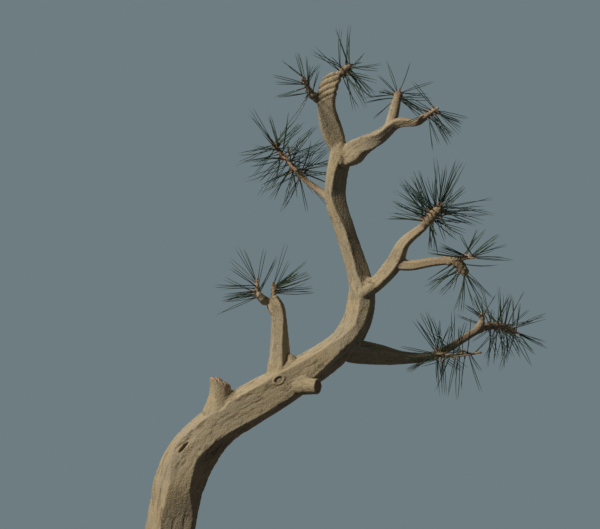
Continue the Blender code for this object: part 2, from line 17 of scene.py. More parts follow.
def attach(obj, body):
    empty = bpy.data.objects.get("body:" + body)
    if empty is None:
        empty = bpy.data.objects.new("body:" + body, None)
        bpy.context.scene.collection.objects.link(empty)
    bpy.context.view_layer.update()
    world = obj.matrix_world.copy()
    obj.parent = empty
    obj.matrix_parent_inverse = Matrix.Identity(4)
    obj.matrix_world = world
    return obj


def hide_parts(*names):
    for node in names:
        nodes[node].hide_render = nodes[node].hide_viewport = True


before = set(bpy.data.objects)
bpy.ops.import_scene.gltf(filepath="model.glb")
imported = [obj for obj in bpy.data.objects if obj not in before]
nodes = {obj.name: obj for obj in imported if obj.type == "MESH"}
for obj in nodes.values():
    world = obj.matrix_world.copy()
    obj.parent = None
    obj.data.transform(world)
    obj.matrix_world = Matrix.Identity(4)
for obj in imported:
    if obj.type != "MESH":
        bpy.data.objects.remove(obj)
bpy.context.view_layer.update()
MM = 0.001
noise.seed_set(1)  # Without a seed noise vectors would come out differently on every run.

# %% [markdown]
# ## Tools for the bench
# Blender's operators act on whatever is selected, so every step first selects only its own object.
# A modifier is applied as soon as it is set, which leaves plain meshes that any later step can read.

# %% Selecting, editing, applying
def select_only(*things):
    bpy.ops.object.select_all(action="DESELECT")
    for thing in things:
        thing.select_set(True)
    bpy.context.view_layer.objects.active = things[0]


def edit(thing, action):
    """Enters Edit mode on one mesh, with all of it selected or nothing."""
    select_only(thing)
    bpy.ops.object.mode_set(mode="EDIT")
    bpy.ops.mesh.select_all(action=action)


def leave_edit():
    bpy.ops.object.mode_set(mode="OBJECT")


def leave_facing_out():
    """Turns all faces of the mesh being edited outwards and leaves Edit mode."""
    bpy.ops.mesh.select_all(action="SELECT")
    bpy.ops.mesh.normals_make_consistent(inside=False)
    leave_edit()


def apply(thing, kind, **settings):
    """Adds a modifier, sets it and applies it."""
    select_only(thing)
    step = thing.modifiers.new(kind.lower(), kind)
    for name, value in settings.items():
        setattr(step, name, value)
    bpy.ops.object.modifier_apply(modifier=step.name)


# %% Meshes and arrays
def read_places(thing, what="co"):
    """Every point of a mesh in millimetres, or every normal, as an array."""
    flat = np.empty(len(thing.data.vertices) * 3)
    thing.data.vertices.foreach_get(what, flat)
    return flat.reshape(-1, 3) / (MM if what == "co" else 1)


def write_places(thing, places):
    thing.data.vertices.foreach_set("co", (places * MM).ravel())
    thing.data.update()


def keep_numbers(thing, name, values):
    """A number for each point of a mesh, kept where a material can read it."""
    kept = thing.data.attributes.new(name, "FLOAT", "POINT")
    kept.data.foreach_set("value", np.asarray(values, np.float32))


def mesh_piece(name, points, faces, materials, face_material=None):
    """A smooth-shaded object from arrays of points, in millimetres, and of faces."""
    mesh = bpy.data.meshes.new(name)
    mesh.from_pydata((np.asarray(points) * MM).tolist(), [], faces)
    mesh.shade_smooth()
    thing = bpy.data.objects.new(name, mesh)
    bpy.context.scene.collection.objects.link(thing)
    for material in materials:
        mesh.materials.append(material)
    if face_material is not None:
        mesh.polygons.foreach_set("material_index", np.asarray(face_material, np.int32))
    return thing


def hand_in(thing, slot, *stands_for):
    """Lets a finished piece ride on the one body, in place of its CAD nodes."""
    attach(thing, "root")
    if stands_for:
        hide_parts(*stands_for)
    thing.data.calc_loop_triangles()
    print(thing.name, len(thing.data.loop_triangles), "triangles")


# %% Small sums
def clamp(value, low=0, high=1):
    return min(max(value, low), high)


def soft_step(values):
    """0 below 0, 1 above 1, and smooth between."""
    values = np.clip(values, 0, 1)
    return values * values * (3 - 2 * values)


def fade_in(values, start, width):
    """0 up to the start and 1 from a width beyond it."""
    return soft_step((values - start) / width)


def fade_out(values, end, width):
    """1 up to a width before the end and 0 from the end on."""
    return soft_step((end - values) / width)


def bell(values, width):
    return np.exp(-((values / width) ** 2))


def unit(ways):
    return ways / np.linalg.norm(ways, axis=-1, keepdims=True)


# %% [markdown]
# ## The camera
# The photo looks level at the tree from two metres with a long lens, so the camera is set first and
# every finish is judged through it. The pot lies just below the picture, as in the photo.

# %% Camera
bpy.ops.object.camera_add(location=(0.0654, -2.0, 0.483), rotation=(math.radians(90), 0, 0))
camera = bpy.context.object
camera.data.lens = 100
bpy.context.scene.camera = camera

# %% [markdown]
# ## Effects that several finishes share
# Bark, clay, soil and needles all vary in slow patches, and all but the needles have a fine grit.
# Each effect is one node group with named inputs, placed in a material with that material's values.

# %% Node groups
def add_node(tree, kind, inputs, **settings):
    """A shader node with its settings, and its inputs linked where a socket is given."""
    made = tree.nodes.new("ShaderNode" + kind)
    for name, value in settings.items():
        setattr(made, name, value)
    for name, value in inputs.items():
        if isinstance(value, bpy.types.NodeSocket):
            tree.links.new(value, made.inputs[name])
        else:
            made.inputs[name].default_value = value
    return made


def new_group(name, numbers, output):
    """An empty shader node group with one vector and some number inputs."""
    tree = bpy.data.node_groups.new(name, "ShaderNodeTree")
    tree.interface.new_socket("Vector", in_out="INPUT", socket_type="NodeSocketVector")
    for label in numbers:
        tree.interface.new_socket(label, in_out="INPUT", socket_type="NodeSocketFloat")
    tree.interface.new_socket(output, in_out="OUTPUT", socket_type="NodeSocketFloat")
    return tree, tree.nodes.new("NodeGroupInput").outputs, tree.nodes.new("NodeGroupOutput").inputs


patch_group, given, result = new_group("patches", ["Scale", "Low", "High"], "Mask")
cloud = add_node(patch_group, "TexNoise",
                 {"Vector": given["Vector"], "Scale": given["Scale"], "Detail": 5.0, "Roughness": 0.6})
spread = add_node(patch_group, "MapRange",
                  {"Value": cloud.outputs[0], "From Min": given["Low"], "From Max": given["High"]})
patch_group.links.new(spread.outputs[0], result["Mask"])

grit_group, given, result = new_group("grit", ["Scale"], "Height")
fine = add_node(grit_group, "TexNoise",
                {"Vector": given["Vector"], "Scale": given["Scale"], "Detail": 4.0, "Roughness": 0.65})
pits = add_node(grit_group, "TexVoronoi", {"Vector": given["Vector"], "Scale": given["Scale"]})
both = add_node(grit_group, "Math",
                {0: fine.outputs[0], 1: pits.outputs["Distance"]}, operation="ADD")
grit_group.links.new(both.outputs[0], result["Height"])
print("node groups:", [group.name for group in bpy.data.node_groups])


# %% Finishes
class Finish:
    """A Principled material being wired up, with its Object coordinates at hand."""

    def __init__(self, name, roughness, specular):
        self.material = bpy.data.materials.new(name)
        self.material.use_nodes = True
        self.tree = self.material.node_tree
        self.shader = self.tree.nodes["Principled BSDF"]
        self.shader.inputs["Roughness"].default_value = roughness
        self.shader.inputs["Specular IOR Level"].default_value = specular
        self.place = self.node("TexCoord", {}).outputs["Object"]

    def node(self, kind, inputs, **settings):
        return add_node(self.tree, kind, inputs, **settings)

    def to_shader(self, name, socket):
        self.tree.links.new(socket, self.shader.inputs[name])

    def placed_group(self, group, **inputs):
        return self.node("Group", {"Vector": self.place, **inputs}, node_tree=group).outputs[0]

    def attribute(self, name):
        return self.node("Attribute", {}, attribute_name=name).outputs["Fac"]

    def patches(self, scale, low=0.4, high=0.6):
        return self.placed_group(patch_group, Scale=scale, Low=low, High=high)

    def times(self, a, b):
        return self.node("Math", {0: a, 1: b}, operation="MULTIPLY").outputs[0]

    def ramp(self, value, low, high, to_low=0.0, to_high=1.0):
        limits = {"From Min": low, "From Max": high, "To Min": to_low, "To Max": to_high}
        return self.node("MapRange", {"Value": value, **limits}).outputs[0]

    def mix(self, mask, first, second):
        """Two colours mixed by a mask. A colour is three numbers or a socket."""
        first, second = ((*c, 1) if isinstance(c, tuple) else c for c in (first, second))
        return self.node("Mix", {0: mask, 6: first, 7: second}, data_type="RGBA").outputs[2]

    def patchy(self, first, second, *patches):
        """Two colours in patches."""
        return self.mix(self.patches(*patches), first, second)

    def layers(self, colour, *layers):
        """A colour with others laid over it in turn, each by a mask of its own."""
        for mask, other in layers:
            colour = self.mix(mask, colour, other)
        return colour

    def dull(self, scale, least, most):
        """Roughness in patches."""
        self.to_shader("Roughness", self.ramp(self.patches(scale), 0, 1, least, most))

    def gritty(self, scale, strength, depth):
        """A grit that bends the light, with its depth in millimetres."""
        grit = self.placed_group(grit_group, Scale=scale)
        made = self.node("Bump", {"Height": grit, "Strength": strength, "Distance": depth * MM})
        self.to_shader("Normal", made.outputs["Normal"])


def clouded(name, roughness, specular, colours, dullness=None, grit=None):
    """A material of two colours in patches, with patchy roughness and a grit where they are given."""
    made = Finish(name, roughness, specular)
    made.to_shader("Base Color", made.patchy(*colours))
    if dullness:
        made.dull(*dullness)
    if grit:
        made.gritty(*grit)
    return made.material


# %% [markdown]
# ## The finish of the pot
# Bonsai pots are often unglazed stoneware: brown clay, dull, with the sand of the body showing. Water
# leaves pale lime on it, mostly near the foot, and hands polish nothing, so it stays matt all over.
# Three patchy masks are enough, as the clay has no pattern of its own.

# %% Clay
clay = Finish("clay", 0.75, 0.35)
body = clay.patchy((0.105, 0.045, 0.028), (0.17, 0.078, 0.046), 14, 0.35, 0.65)
body = clay.patchy(body, (0.33, 0.22, 0.15), 420, 0.60, 0.72)
height = clay.node("SeparateXYZ", {"Vector": clay.place}).outputs["Z"]
lime = clay.times(clay.ramp(height, 0.034, 0.004), clay.patches(38, 0.42, 0.70))
clay.to_shader("Base Color", clay.mix(clay.times(lime, 0.55), body, (0.42, 0.36, 0.30)))
clay.dull(60, 0.62, 0.86)
clay.gritty(620, 0.35, 0.5)

# %% [markdown]
# ## The pot
# A potter presses such a pot in a mould: a plinth, walls that lean out, a thick lip, and drainage
# holes. Here a plane with rounded corners is the foot, and each extrusion with a small resize carries
# it up to the next height, then over the lip and down inside. The profile's rows are how far a rim lies
# inside the pot's half size, and how high. The Bevel modifier softens every rim.

# %% Pot
POT_HALF = Vector((212, 150, 0))
POT_CORNER, CORNER_STEPS = 20, 12
POT_PROFILE = [
    (29, 0), (28, 6), (15, 7), (11.2, 12), (8.6, 22), (5.4, 34), (3, 46), (1, 58), (0, 64.5), (-8, 65),
    (-9, 67), (-9, 78), (-7.5, 80), (7.5, 80), (9, 78), (10, 60), (14, 36), (19, 20), (26, 14),
]

bpy.ops.mesh.primitive_plane_add(size=2)
pot = bpy.context.object
pot.name = "bonsai_pot"
edit(pot, "SELECT")
inset, height = POT_PROFILE[0]
bpy.ops.transform.resize(value=((POT_HALF.x - inset) * MM, (POT_HALF.y - inset) * MM, 1))
bpy.ops.mesh.bevel(offset=POT_CORNER * MM, segments=CORNER_STEPS, affect="VERTICES")
for next_inset, next_height in POT_PROFILE[1:]:
    bpy.ops.mesh.extrude_region_move(TRANSFORM_OT_translate={"value": (0, 0, (next_height - height) * MM)})
    grow_x, grow_y = ((half - next_inset) / (half - inset) for half in POT_HALF.xy)
    bpy.ops.transform.resize(value=(grow_x, grow_y, 1))
    inset, height = next_inset, next_height
leave_facing_out()

# %% [markdown]
# Each drainage hole is cut with a cylinder, the way a potter punches it with a tube.

# %% Drainage holes
HOLE_RADIUS, HOLE_AT, PUNCH_LENGTH = 11, 105, 60
RIM_BEVEL = 1.1
for side in (-1, 1):
    bpy.ops.mesh.primitive_cylinder_add(vertices=32, radius=HOLE_RADIUS * MM, depth=PUNCH_LENGTH * MM,
                                        location=(side * HOLE_AT * MM, 0, 0))
    punch = bpy.context.object
    apply(pot, "BOOLEAN", object=punch, operation="DIFFERENCE", solver="EXACT")
    bpy.data.objects.remove(punch)
apply(pot, "BEVEL", width=RIM_BEVEL * MM, segments=3, limit_method="ANGLE", angle_limit=math.radians(32))
select_only(pot)
bpy.ops.object.shade_smooth_by_angle(angle=math.radians(38))
pot.data.materials.append(clay.material)
hand_in(pot, "clay", "pot")

# %% [markdown]
# ## The soil
# Bonsai soil is a sharp grit of baked clay, pumice and bark crumbs, two to five millimetres across,
# heaped a little towards the tree. A bed carries the heap's shape and seals the pot. The grit itself is
# loose grains on the bed, because at this size single grains show. Three colours are dealt out by grain.

# %% Soil finishes
SOIL_FINISHES = [
    clouded(name, 0.95, 0.2, (dry, wet, 260, 0.35, 0.65), (90, 0.86, 1.0), (900, 0.5, 0.6))
    for name, dry, wet in (
        ("baked_clay_grit", (0.20, 0.105, 0.052), (0.12, 0.062, 0.033)),
        ("dark_crumb", (0.075, 0.048, 0.030), (0.040, 0.026, 0.018)),
        ("pumice", (0.36, 0.29, 0.21), (0.24, 0.18, 0.125)))]
print("materials so far:", len(bpy.data.materials))

# %% [markdown]
# The bed starts as a grid. Its square corners are drawn in to the pot's round ones, each point is
# lifted to the heap's height, and its border is extruded down the leaning walls and closed below.

# %% Soil height
FOOT = Vector((-105, 0, 84))
SOIL_EDGE, SOIL_FLAT_RADIUS, SOIL_GAP, SOIL_CORNER = 72, 66, 9.6, 24
HEAP_HEIGHT = 0.9
HEAP_WAVES = [(12, 47, 0.4), (74, 53, 2.1), (137, 43, 4.0)]
half_x, half_y = POT_HALF.x - SOIL_GAP, POT_HALF.y - SOIL_GAP


def soil_height(x, y):
    """The solid's height: level at the walls, flat round the trunk's foot, and in low heaps between."""
    out_x, out_y = x - FOOT.x, y - FOOT.y
    away = math.hypot(out_x, out_y)
    to_wall = min((half_x + math.copysign(FOOT.x, out_x)) / max(abs(out_x), 1e-6),
                  half_y / max(abs(out_y), 1e-6))
    share = clamp((to_wall * away - away) / (to_wall * away - SOIL_FLAT_RADIUS))
    heap = 0
    for facing, length, start in HEAP_WAVES:
        along = x * math.cos(math.radians(facing)) + y * math.sin(math.radians(facing))
        heap += HEAP_HEIGHT * math.sin(along * math.tau / length + start)
    rise = (FOOT.z - SOIL_EDGE) * share * share * (3 - 2 * share)
    return SOIL_EDGE + rise + heap * (1 - (2 * share - 1) ** 4)


print("soil height by the trunk:", round(soil_height(FOOT.x + SOIL_FLAT_RADIUS, 0), 1), "mm")

# %% Soil bed
BED_DEPTH, BED_SMOOTH_EDGE = 2.0, 6
BED_LUMPS = [(22, 0, 1.3), (7, 9, 0.7)]
BED_SIDES = [(20, 0.985), (20, 0.978), (12, 0.972)]
bpy.ops.mesh.primitive_grid_add(x_subdivisions=150, y_subdivisions=104, size=1)
bed = bpy.context.object
bed.name = "soil_bed"
for vert in bed.data.vertices:
    x, y = vert.co.x * 2 * half_x, vert.co.y * 2 * half_y
    out_x, out_y = max(abs(x) - half_x + SOIL_CORNER, 0), max(abs(y) - half_y + SOIL_CORNER, 0)
    if out_x and out_y:
        pull = 1 - max(out_x, out_y) / math.hypot(out_x, out_y)
        x -= math.copysign(out_x * pull, x)
        y -= math.copysign(out_y * pull, y)
    lump = sum(noise.noise(Vector((x, y, layer)) / size) * high for size, layer, high in BED_LUMPS)
    to_edge = min(max(half_x - abs(x), 0), max(half_y - abs(y), 0))
    vert.co = Vector((x, y, soil_height(x, y) - BED_DEPTH + lump * min(1, to_edge / BED_SMOOTH_EDGE))) * MM
edit(bed, "DESELECT")
bpy.ops.mesh.select_mode(type="EDGE")
bpy.ops.mesh.select_non_manifold()
for drop, shrink in BED_SIDES:
    bpy.ops.mesh.extrude_edges_move(TRANSFORM_OT_translate={"value": (0, 0, -drop * MM)})
    bpy.ops.transform.resize(value=(shrink, shrink, 1), center_override=(0, 0, 0))
bpy.ops.mesh.edge_face_add()
leave_facing_out()
bpy.ops.object.shade_smooth_by_angle(angle=math.radians(50))
bed.data.materials.append(SOIL_FINISHES[1])
hand_in(bed, "soil", "soil")

# %% [markdown]
# One grain is an icosphere of twenty faces. Thousands of copies are squashed, turned and set down by
# arrays, since an object for each would be slow, and joined in one mesh. Against the trunk the grit is
# heaped a little and covers the edge of the flat cut.

# %% Soil grains
GRAINS, GRAIN_DEPTH, GRAIN_UNEVEN = 9300, 1.3, 0.7
GRAIN_RADII, GRAIN_SQUASH, GRAIN_ROUGH = (1.1, 2.5), (0.7, 1.15), 0.22
KIND_SHARES = (0.52, 0.30, 0.18)
COLLAR_HEIGHT, COLLAR_REACH = 1.1, 48
chance = np.random.default_rng(5)
bpy.ops.mesh.primitive_ico_sphere_add(subdivisions=1, radius=1)
grain = bpy.context.object
grain_points = np.array([vert.co for vert in grain.data.vertices])
grain_faces = np.array([face.vertices for face in grain.data.polygons])
bpy.data.objects.remove(grain)

spots = chance.uniform((-half_x + 2, -half_y + 2), (half_x - 2, half_y - 2), (GRAINS, 2))
out = np.maximum(np.abs(spots) - (half_x - SOIL_CORNER, half_y - SOIL_CORNER), 0)
spots = spots[np.hypot(out[:, 0], out[:, 1]) < SOIL_CORNER - 2]
count = len(spots)
sizes = chance.uniform(*GRAIN_RADII, (count, 1)) * chance.uniform(*GRAIN_SQUASH, (count, 3))
turns, _ = np.linalg.qr(chance.normal(size=(count, 3, 3)))
rough = grain_points[None] * (1 + chance.uniform(-GRAIN_ROUGH, GRAIN_ROUGH, (count, len(grain_points), 1)))
shapes = (rough * sizes[:, None]) @ turns
heights = np.array([soil_height(x, y) for x, y in spots]) - GRAIN_DEPTH
heights += chance.uniform(-GRAIN_UNEVEN, GRAIN_UNEVEN, count)
from_trunk = np.hypot(spots[:, 0] - FOOT.x, spots[:, 1] - FOOT.y)
heights += COLLAR_HEIGHT * np.exp(-((from_trunk / COLLAR_REACH) ** 4))
points = shapes + np.column_stack((spots, heights))[:, None]
# A turn with a negative determinant is a mirror, and its faces are wound the other way.
faces = grain_faces[None] + (np.arange(count) * len(grain_points))[:, None, None]
mirrored = np.linalg.det(turns) < 0
faces[mirrored] = faces[mirrored][:, :, ::-1]
kinds = np.repeat(chance.choice(3, count, p=KIND_SHARES), len(grain_faces))
grains = mesh_piece("soil_grains", points.reshape(-1, 3), faces.reshape(-1, 3).tolist(), SOIL_FINISHES, kinds)
grains.data.shade_flat()
hand_in(grains, "soil")

# %% [markdown]
# ## The limbs
# Trunk and boughs are one tapering limb each. The bends below are those of the solids: a place on the
# limb's centre line and its radius there. They are needed twice: bark follows a limb's own
# direction, and twigs and needles grow on from its tip. The two stubs and the fork's shoulder belong to
# the trunk's solid or to none, and have lines of their own so that bark follows them too.

# %% The bends of every limb
Bend = namedtuple("Bend", "right back up radius")


def bends(*rows):
    return [Bend(*row) for row in rows]


LIMBS = {
    "trunk": bends(
        (-105, 0, 84, 31), (-98, 0, 118, 30), (-85, -1, 188, 29), (-78, -4, 223, 29), (-62, -6, 257, 27.5),
        (-33, -8, 289, 23.5), (7, -10, 316, 23), (50, -10, 341, 21), (110, 0, 381, 17), (131, 4, 409, 16.2),
        (139, 6, 438, 15.6), (137, 8, 468, 12.8), (121, 12, 520, 11.4), (108, 14, 567, 11.8),
        (115, 5, 620, 12.5)),
    "left_lower_bough": bends(
        (40, -8, 346, 15), (41, -2, 386, 10.9), (39.5, 4, 420, 9), (36.5, 6, 431, 9.6), (33, 8, 438, 8.4)),
    "right_lower_bough": bends(
        (106, 0, 387, 11), (124, 5, 380, 13.6), (158, 20, 374, 11.8), (191, 36, 369, 7.5),
        (226, 52, 370, 5.4), (252, 64, 381, 4.7), (281, 78, 398, 4.5), (292, 84, 403, 5.2)),
    "right_upper_bough": bends(
        (138, 6, 446, 9.5), (160, -6, 463, 9), (178, -20, 485, 9.8), (188.5, -30, 508, 7.1),
        (209, -38, 526, 5)),
    "left_upper_bough": bends((109, 12, 556, 6), (91, 25, 571, 4.2), (70, 44, 588, 3.2)),
    "crown_left_bough": bends(
        (115, 5, 616, 9), (104, 0, 643, 12), (97, -10, 670, 10.2), (99, -14, 694, 10.4), (109, -12, 708, 6)),
    "crown_right_bough": bends(
        (122, 2, 612, 11.5), (129, -3, 617, 13.5), (140, -9, 625, 10.8), (160, -22, 635, 8.2),
        (180, -30, 650, 6), (202, -42, 650, 4.2), (210, -46, 655, 4.4)),
    "right_middle_bough": bends(
        (177, -20, 483, 6), (195.8, -29, 482, 6.2), (220.6, -42, 486, 5.3), (239.9, -50, 487.9, 4.8)),
    "crown_right_spur": bends((171, -26, 647, 5.5), (175.4, -16, 657.4, 6.4), (181.4, 9, 680.2, 5.6)),
    "lower_right_spur": bends((284, 79, 400, 3.6), (289, 78, 406, 4.8), (293, 76, 413, 3.8)),
}
SHOULDER = bends((131, -1.2, 446, 5.5), (141, -5.6, 448.5, 7), (158, -7.3, 461, 8.4), (170, -13.8, 475, 8))
STUBS = [
    bends((-32, -8, 297, 24), (-30, -10, 326, 13.5), (-30, -11, 348, 12.5)),
    bends((44, -8, 340, 10), (62, -19, 339, 11), (86, -33, 339, 8.8)),
    SHOULDER,
]


def centre(bend):
    return Vector((bend.right, bend.back, bend.up))


def between(a, b, c, d, t):
    """A Catmull-Rom value between b and c."""
    square = 2 * a - 5 * b + 4 * c - d
    cube = 3 * b - a - 3 * c + d
    return 0.5 * (2 * b + (c - a) * t + square * t ** 2 + cube * t ** 3)


def smooth_line(given, spacing):
    """More bends, about evenly spaced on a smooth line through the given ones."""
    line = []
    last = len(given) - 1
    for i in range(last):
        four = [given[max(i - 1, 0)], given[i], given[i + 1], given[min(i + 2, last)]]
        steps = max(1, round((centre(given[i + 1]) - centre(given[i])).length / spacing))
        for k in range(steps):
            line.append(Bend(*(between(*values, k / steps) for values in zip(*four))))
    return line + [given[-1]]


print("limbs:", {name: len(smooth_line(line, 3)) for name, line in LIMBS.items()})

# %% [markdown]
# ## One skin for trunk and boughs
# On a living tree the bark runs from trunk to bough without a seam. The solids are copied, and each
# copy's loose triangles are merged and swollen by a hair to close the clearance between them.
# Small balls add what a knife and old age leave: a swollen crown, knuckles at the tips, and at the
# fork a shoulder that runs from the bough over the trunk's front. A voxel remesh then fuses all of
# them into one even skin, and Smooth rounds the facets.

# %% Fused skin
VOXEL = 1.5
LUMPS = [
    (99, -14, 701, 8.4), (97, -13, 689, 9.6), (87, -13, 679, 5.6), (57, -6, 366, 8.6), (51, -6, 372, 7.2),
    (207, -37, 524, 5.4), (212, -36, 529, 4.8), (204, -33, 520, 5.4), (240, -51, 486, 5.4),
    (236, -49, 490, 4.6), (35, 4, 435, 5.6), (28, 5.5, 437, 6), (23, 4, 439.5, 6), (18.5, 2, 443, 5),
    (19.5, 0.5, 442.5, 5.4), (16, -1.5, 446.5, 4.8), (80, -18, 684, 5.2), (76, -22, 689, 4.4),
    (35, 9, 442, 4.8), (181, 7.5, 678, 6.2), (209, -47, 654, 4.6), (291, 82, 405, 5.4),
    (71, 42, 587, 3.8), (232, 52, 370, 5.6),
]
copies = []
for name in LIMBS:
    copy = bpy.data.objects.new(name + "_copy", nodes[name].data.copy())
    bpy.context.scene.collection.objects.link(copy)
    copies.append(copy)
select_only(*copies)
bpy.ops.object.join()
skin = bpy.context.object
skin.name = "bark_skin"
edit(skin, "SELECT")
bpy.ops.mesh.remove_doubles(threshold=0.01 * MM)
leave_edit()
apply(skin, "DISPLACE", strength=0.5 * MM, mid_level=0)
lumps = []
for x, y, z, radius in LUMPS + smooth_line(SHOULDER, 3):
    bpy.ops.mesh.primitive_uv_sphere_add(
        segments=16, ring_count=10, radius=radius * MM, location=Vector((x, y, z)) * MM)
    lumps.append(bpy.context.object)
select_only(skin, *lumps)
bpy.ops.object.join()
apply(skin, "REMESH", mode="VOXEL", voxel_size=VOXEL * MM, adaptivity=0)
apply(skin, "SMOOTH", factor=0.5, iterations=4)
print("fused skin:", len(skin.data.vertices), "points")

# %% [markdown]
# Four marks of age come later: a sawn stub, a snapped one, a split and a healed eye. Their edges are
# finer than this skin, so it is subdivided once more just round them.

# %% Finer skin at the marks
SAWN, SNAPPED, SPLIT, EYE = (np.array(spot) for spot in (
    (86, -33, 339), (-30, -11, 346), (-72.3, -29, 266.7), (40.3, -28, 346.5)))
MARK_REACH = 13
edit(skin, "DESELECT")
bpy.ops.mesh.select_mode(type="VERT")
leave_edit()
places = read_places(skin)
away = np.min([np.linalg.norm(places - spot, axis=1) for spot in (SAWN, SNAPPED, SPLIT, EYE)], axis=0)
skin.data.vertices.foreach_set("select", away < MARK_REACH)
bpy.ops.object.mode_set(mode="EDIT")
bpy.ops.mesh.subdivide(number_cuts=1, smoothness=0)
leave_edit()
print("skin:", len(skin.data.vertices), "points")

# %% [markdown]
# ## Places on the limbs
# Old bark and the trunk's flats both follow the wood, and plain coordinates would ignore how the limbs
# bend. So every point of the skin learns its seat on each limb: the limb's nearest sample, how far along
# from there, the angle round the limb from the front towards the right, and the distance from its
# centre line. Where limbs meet, a point has a share in each of them, so that nothing made here shows
# a seam.

# %% Samples of the limbs
LINE_STEP = 3
PLATE_STRETCH, PLATE_WIDTH, LEAST_PLATE = 3.6, 0.27, 3.2
Limb = namedtuple("Limb", "points radii ahead front side plates lengths numbers")


def as_arrays(line):
    return np.array([centre(bend) for bend in line]), np.array([bend.radius for bend in line])


def limb_samples(given):
    """Arrays of samples along a limb. Plates are their widths, lengths are in plates, numbers in bends."""
    line = smooth_line(given, LINE_STEP)
    points, radii = as_arrays(line)
    ahead = unit(np.gradient(points, axis=0))
    front = unit(np.array((0, -1, 0)) - ahead * -ahead[:, 1:2])
    plates = np.maximum(PLATE_WIDTH * radii, LEAST_PLATE)
    steps = np.linalg.norm(np.diff(points, axis=0), axis=1)
    lengths = np.concatenate(([0], np.cumsum(steps / plates[1:] / PLATE_STRETCH)))
    at_bend = [int(np.argmin(np.linalg.norm(points - centre(bend), axis=1))) for bend in given]
    numbers = np.interp(np.arange(len(line)), at_bend, np.arange(len(given)))
    return Limb(points, radii, ahead, front, np.cross(ahead, front), plates, lengths, numbers)


def nearest(places, limb):
    """For each place, the gap to a limb's surface and the limb's nearest sample."""
    gap = np.full(len(places), 1e9)
    which = np.zeros(len(places), int)
    for k, (point, radius) in enumerate(zip(limb.points, limb.radii)):
        away = np.linalg.norm(places - point, axis=1) - radius
        closer = away < gap
        gap[closer], which[closer] = away[closer], k
    return gap, which


BURIED = 0.3
limbs = {}
for name, line in [*LIMBS.items(), *enumerate(STUBS)]:
    limb = limb_samples(line)
    # A bough counts only from where its middle leaves the limbs that bear it.
    outside = np.full(len(limb.points), True)
    for other in limbs.values():
        outside &= nearest(limb.points, other)[0] > -BURIED * limb.radii
    limbs[name] = Limb(*(array[outside] for array in limb))
print("samples:", {name: len(limb.points) for name, limb in limbs.items()})

# %% Shares and seats
BLEND, LEAST_SHARE = 1.8, 0.05
Seat = namedtuple("Seat", "sample along angle reach")
places = read_places(skin)
found = {name: nearest(places, limb) for name, limb in limbs.items()}
gaps = np.array([gap for gap, _ in found.values()])
shares = np.exp(-np.maximum(gaps - gaps.min(axis=0), 0) / BLEND)
shares[shares < LEAST_SHARE] = 0
shares = dict(zip(limbs, shares / shares.sum(axis=0)))
seats = {}
for name, limb in limbs.items():
    k = found[name][1]
    off = places - limb.points[k]
    along, fore, aside = (np.einsum("ij,ij->i", off, way[k]) for way in (limb.ahead, limb.front, limb.side))
    seats[name] = Seat(k, along, np.arctan2(aside, fore), np.hypot(aside, fore))


def outward(name):
    """For each point, the way straight out from a limb's centre line."""
    limb, (k, _, angle, _) = limbs[name], seats[name]
    return limb.front[k] * np.cos(angle)[:, None] + limb.side[k] * np.sin(angle)[:, None]


print("points on more than one limb:", int((np.array(list(shares.values())).max(axis=0) < 0.95).sum()))

# %% [markdown]
# ## Broad flats
# An old trunk isn't round. It has long flats, where it was bent, pressed or cut, and the photo shows
# them as clear planes of light and shade. The section of every larger limb is pressed to five corners.
# Their angles, given at every bend and counted from the front towards the right, say where one plane
# ends and the next begins. Knots, stubs and the root flare stand out of the section and keep their
# shape, because the flats fade out there.

# %% Flats
FLATS = {
    "trunk": [
        (-105, -24, 50, 120, 190), (-105, -23, 50, 122, 190), (-105, -22, 48, 122, 190),
        (-105, -19, 28, 112, 190), (-105, -48, 14, 105, 180), (-105, -42, 28, 104, 180),
        (-105, -40, 40, 104, 180), (-105, -42, 40, 106, 180), (-105, -34, 8, 100, 180),
        (-105, -6, 28, 98, 180), (-105, -12, 36, 100, 180), (-105, -70, -12, 92, 175),
        (-110, -65, 0, 100, 175), (-110, -72, -26, 84, 175), (-110, -50, 0, 90, 175)],
    "left_lower_bough": [(-110, -45, 14, 100, 185)] * 2 + [(-110, -45, 40, 105, 185)] * 3,
    "right_lower_bough": [(-135, -85, -22, 90, 165)] * 4 + [(-120, -56, 16, 95, 170)] * 4,
    "right_upper_bough": [(-100, 12, 60, 120, 185)] * 5,
    "crown_left_bough": [(-110, -62, 46, 100, 180)] * 5,
    "crown_right_bough": [(-115, -64, 34, 100, 180)] * 3 + [(-105, -28, 88, 130, 185)] * 4,
    "right_middle_bough": [(-110, -40, 40, 110, 185)] * 4,
}
CORNER_REACH, LEAST_REACH = 1.13, 0.64
moves = np.zeros_like(places)
for name, rows in FLATS.items():
    limb, (k, along, angle, reach) = limbs[name], seats[name]
    radii = limb.radii[k]
    corners = [np.interp(limb.numbers[k], range(len(rows)), column) for column in np.radians(rows).T]
    corners.append(corners[0] + math.tau)
    wanted = np.ones(len(places))
    for a, b in zip(corners, corners[1:]):
        turn = (angle - (a + b) / 2 + math.pi) % math.tau - math.pi
        inside = np.abs(turn) <= (b - a) / 2
        wanted[inside] = (CORNER_REACH * np.cos((b - a) / 2) / np.cos(turn))[inside]
    wanted = np.maximum(wanted, LEAST_REACH) * radii
    hold = fade_in(shares[name], 0.5, 0.4) * fade_out(reach / radii, 1.42, 0.2)
    hold *= fade_out(np.abs(along), 6, 4)
    if name == "trunk":
        hold *= fade_in(places[:, 2], 96, 30)
    moves += outward(name) * ((wanted - reach) * hold)[:, None]
write_places(skin, places + moves)
apply(skin, "SMOOTH", factor=0.5, iterations=2)
places = read_places(skin)
print("the flats move the skin by up to", round(float(np.linalg.norm(moves, axis=1).max()), 1), "mm")

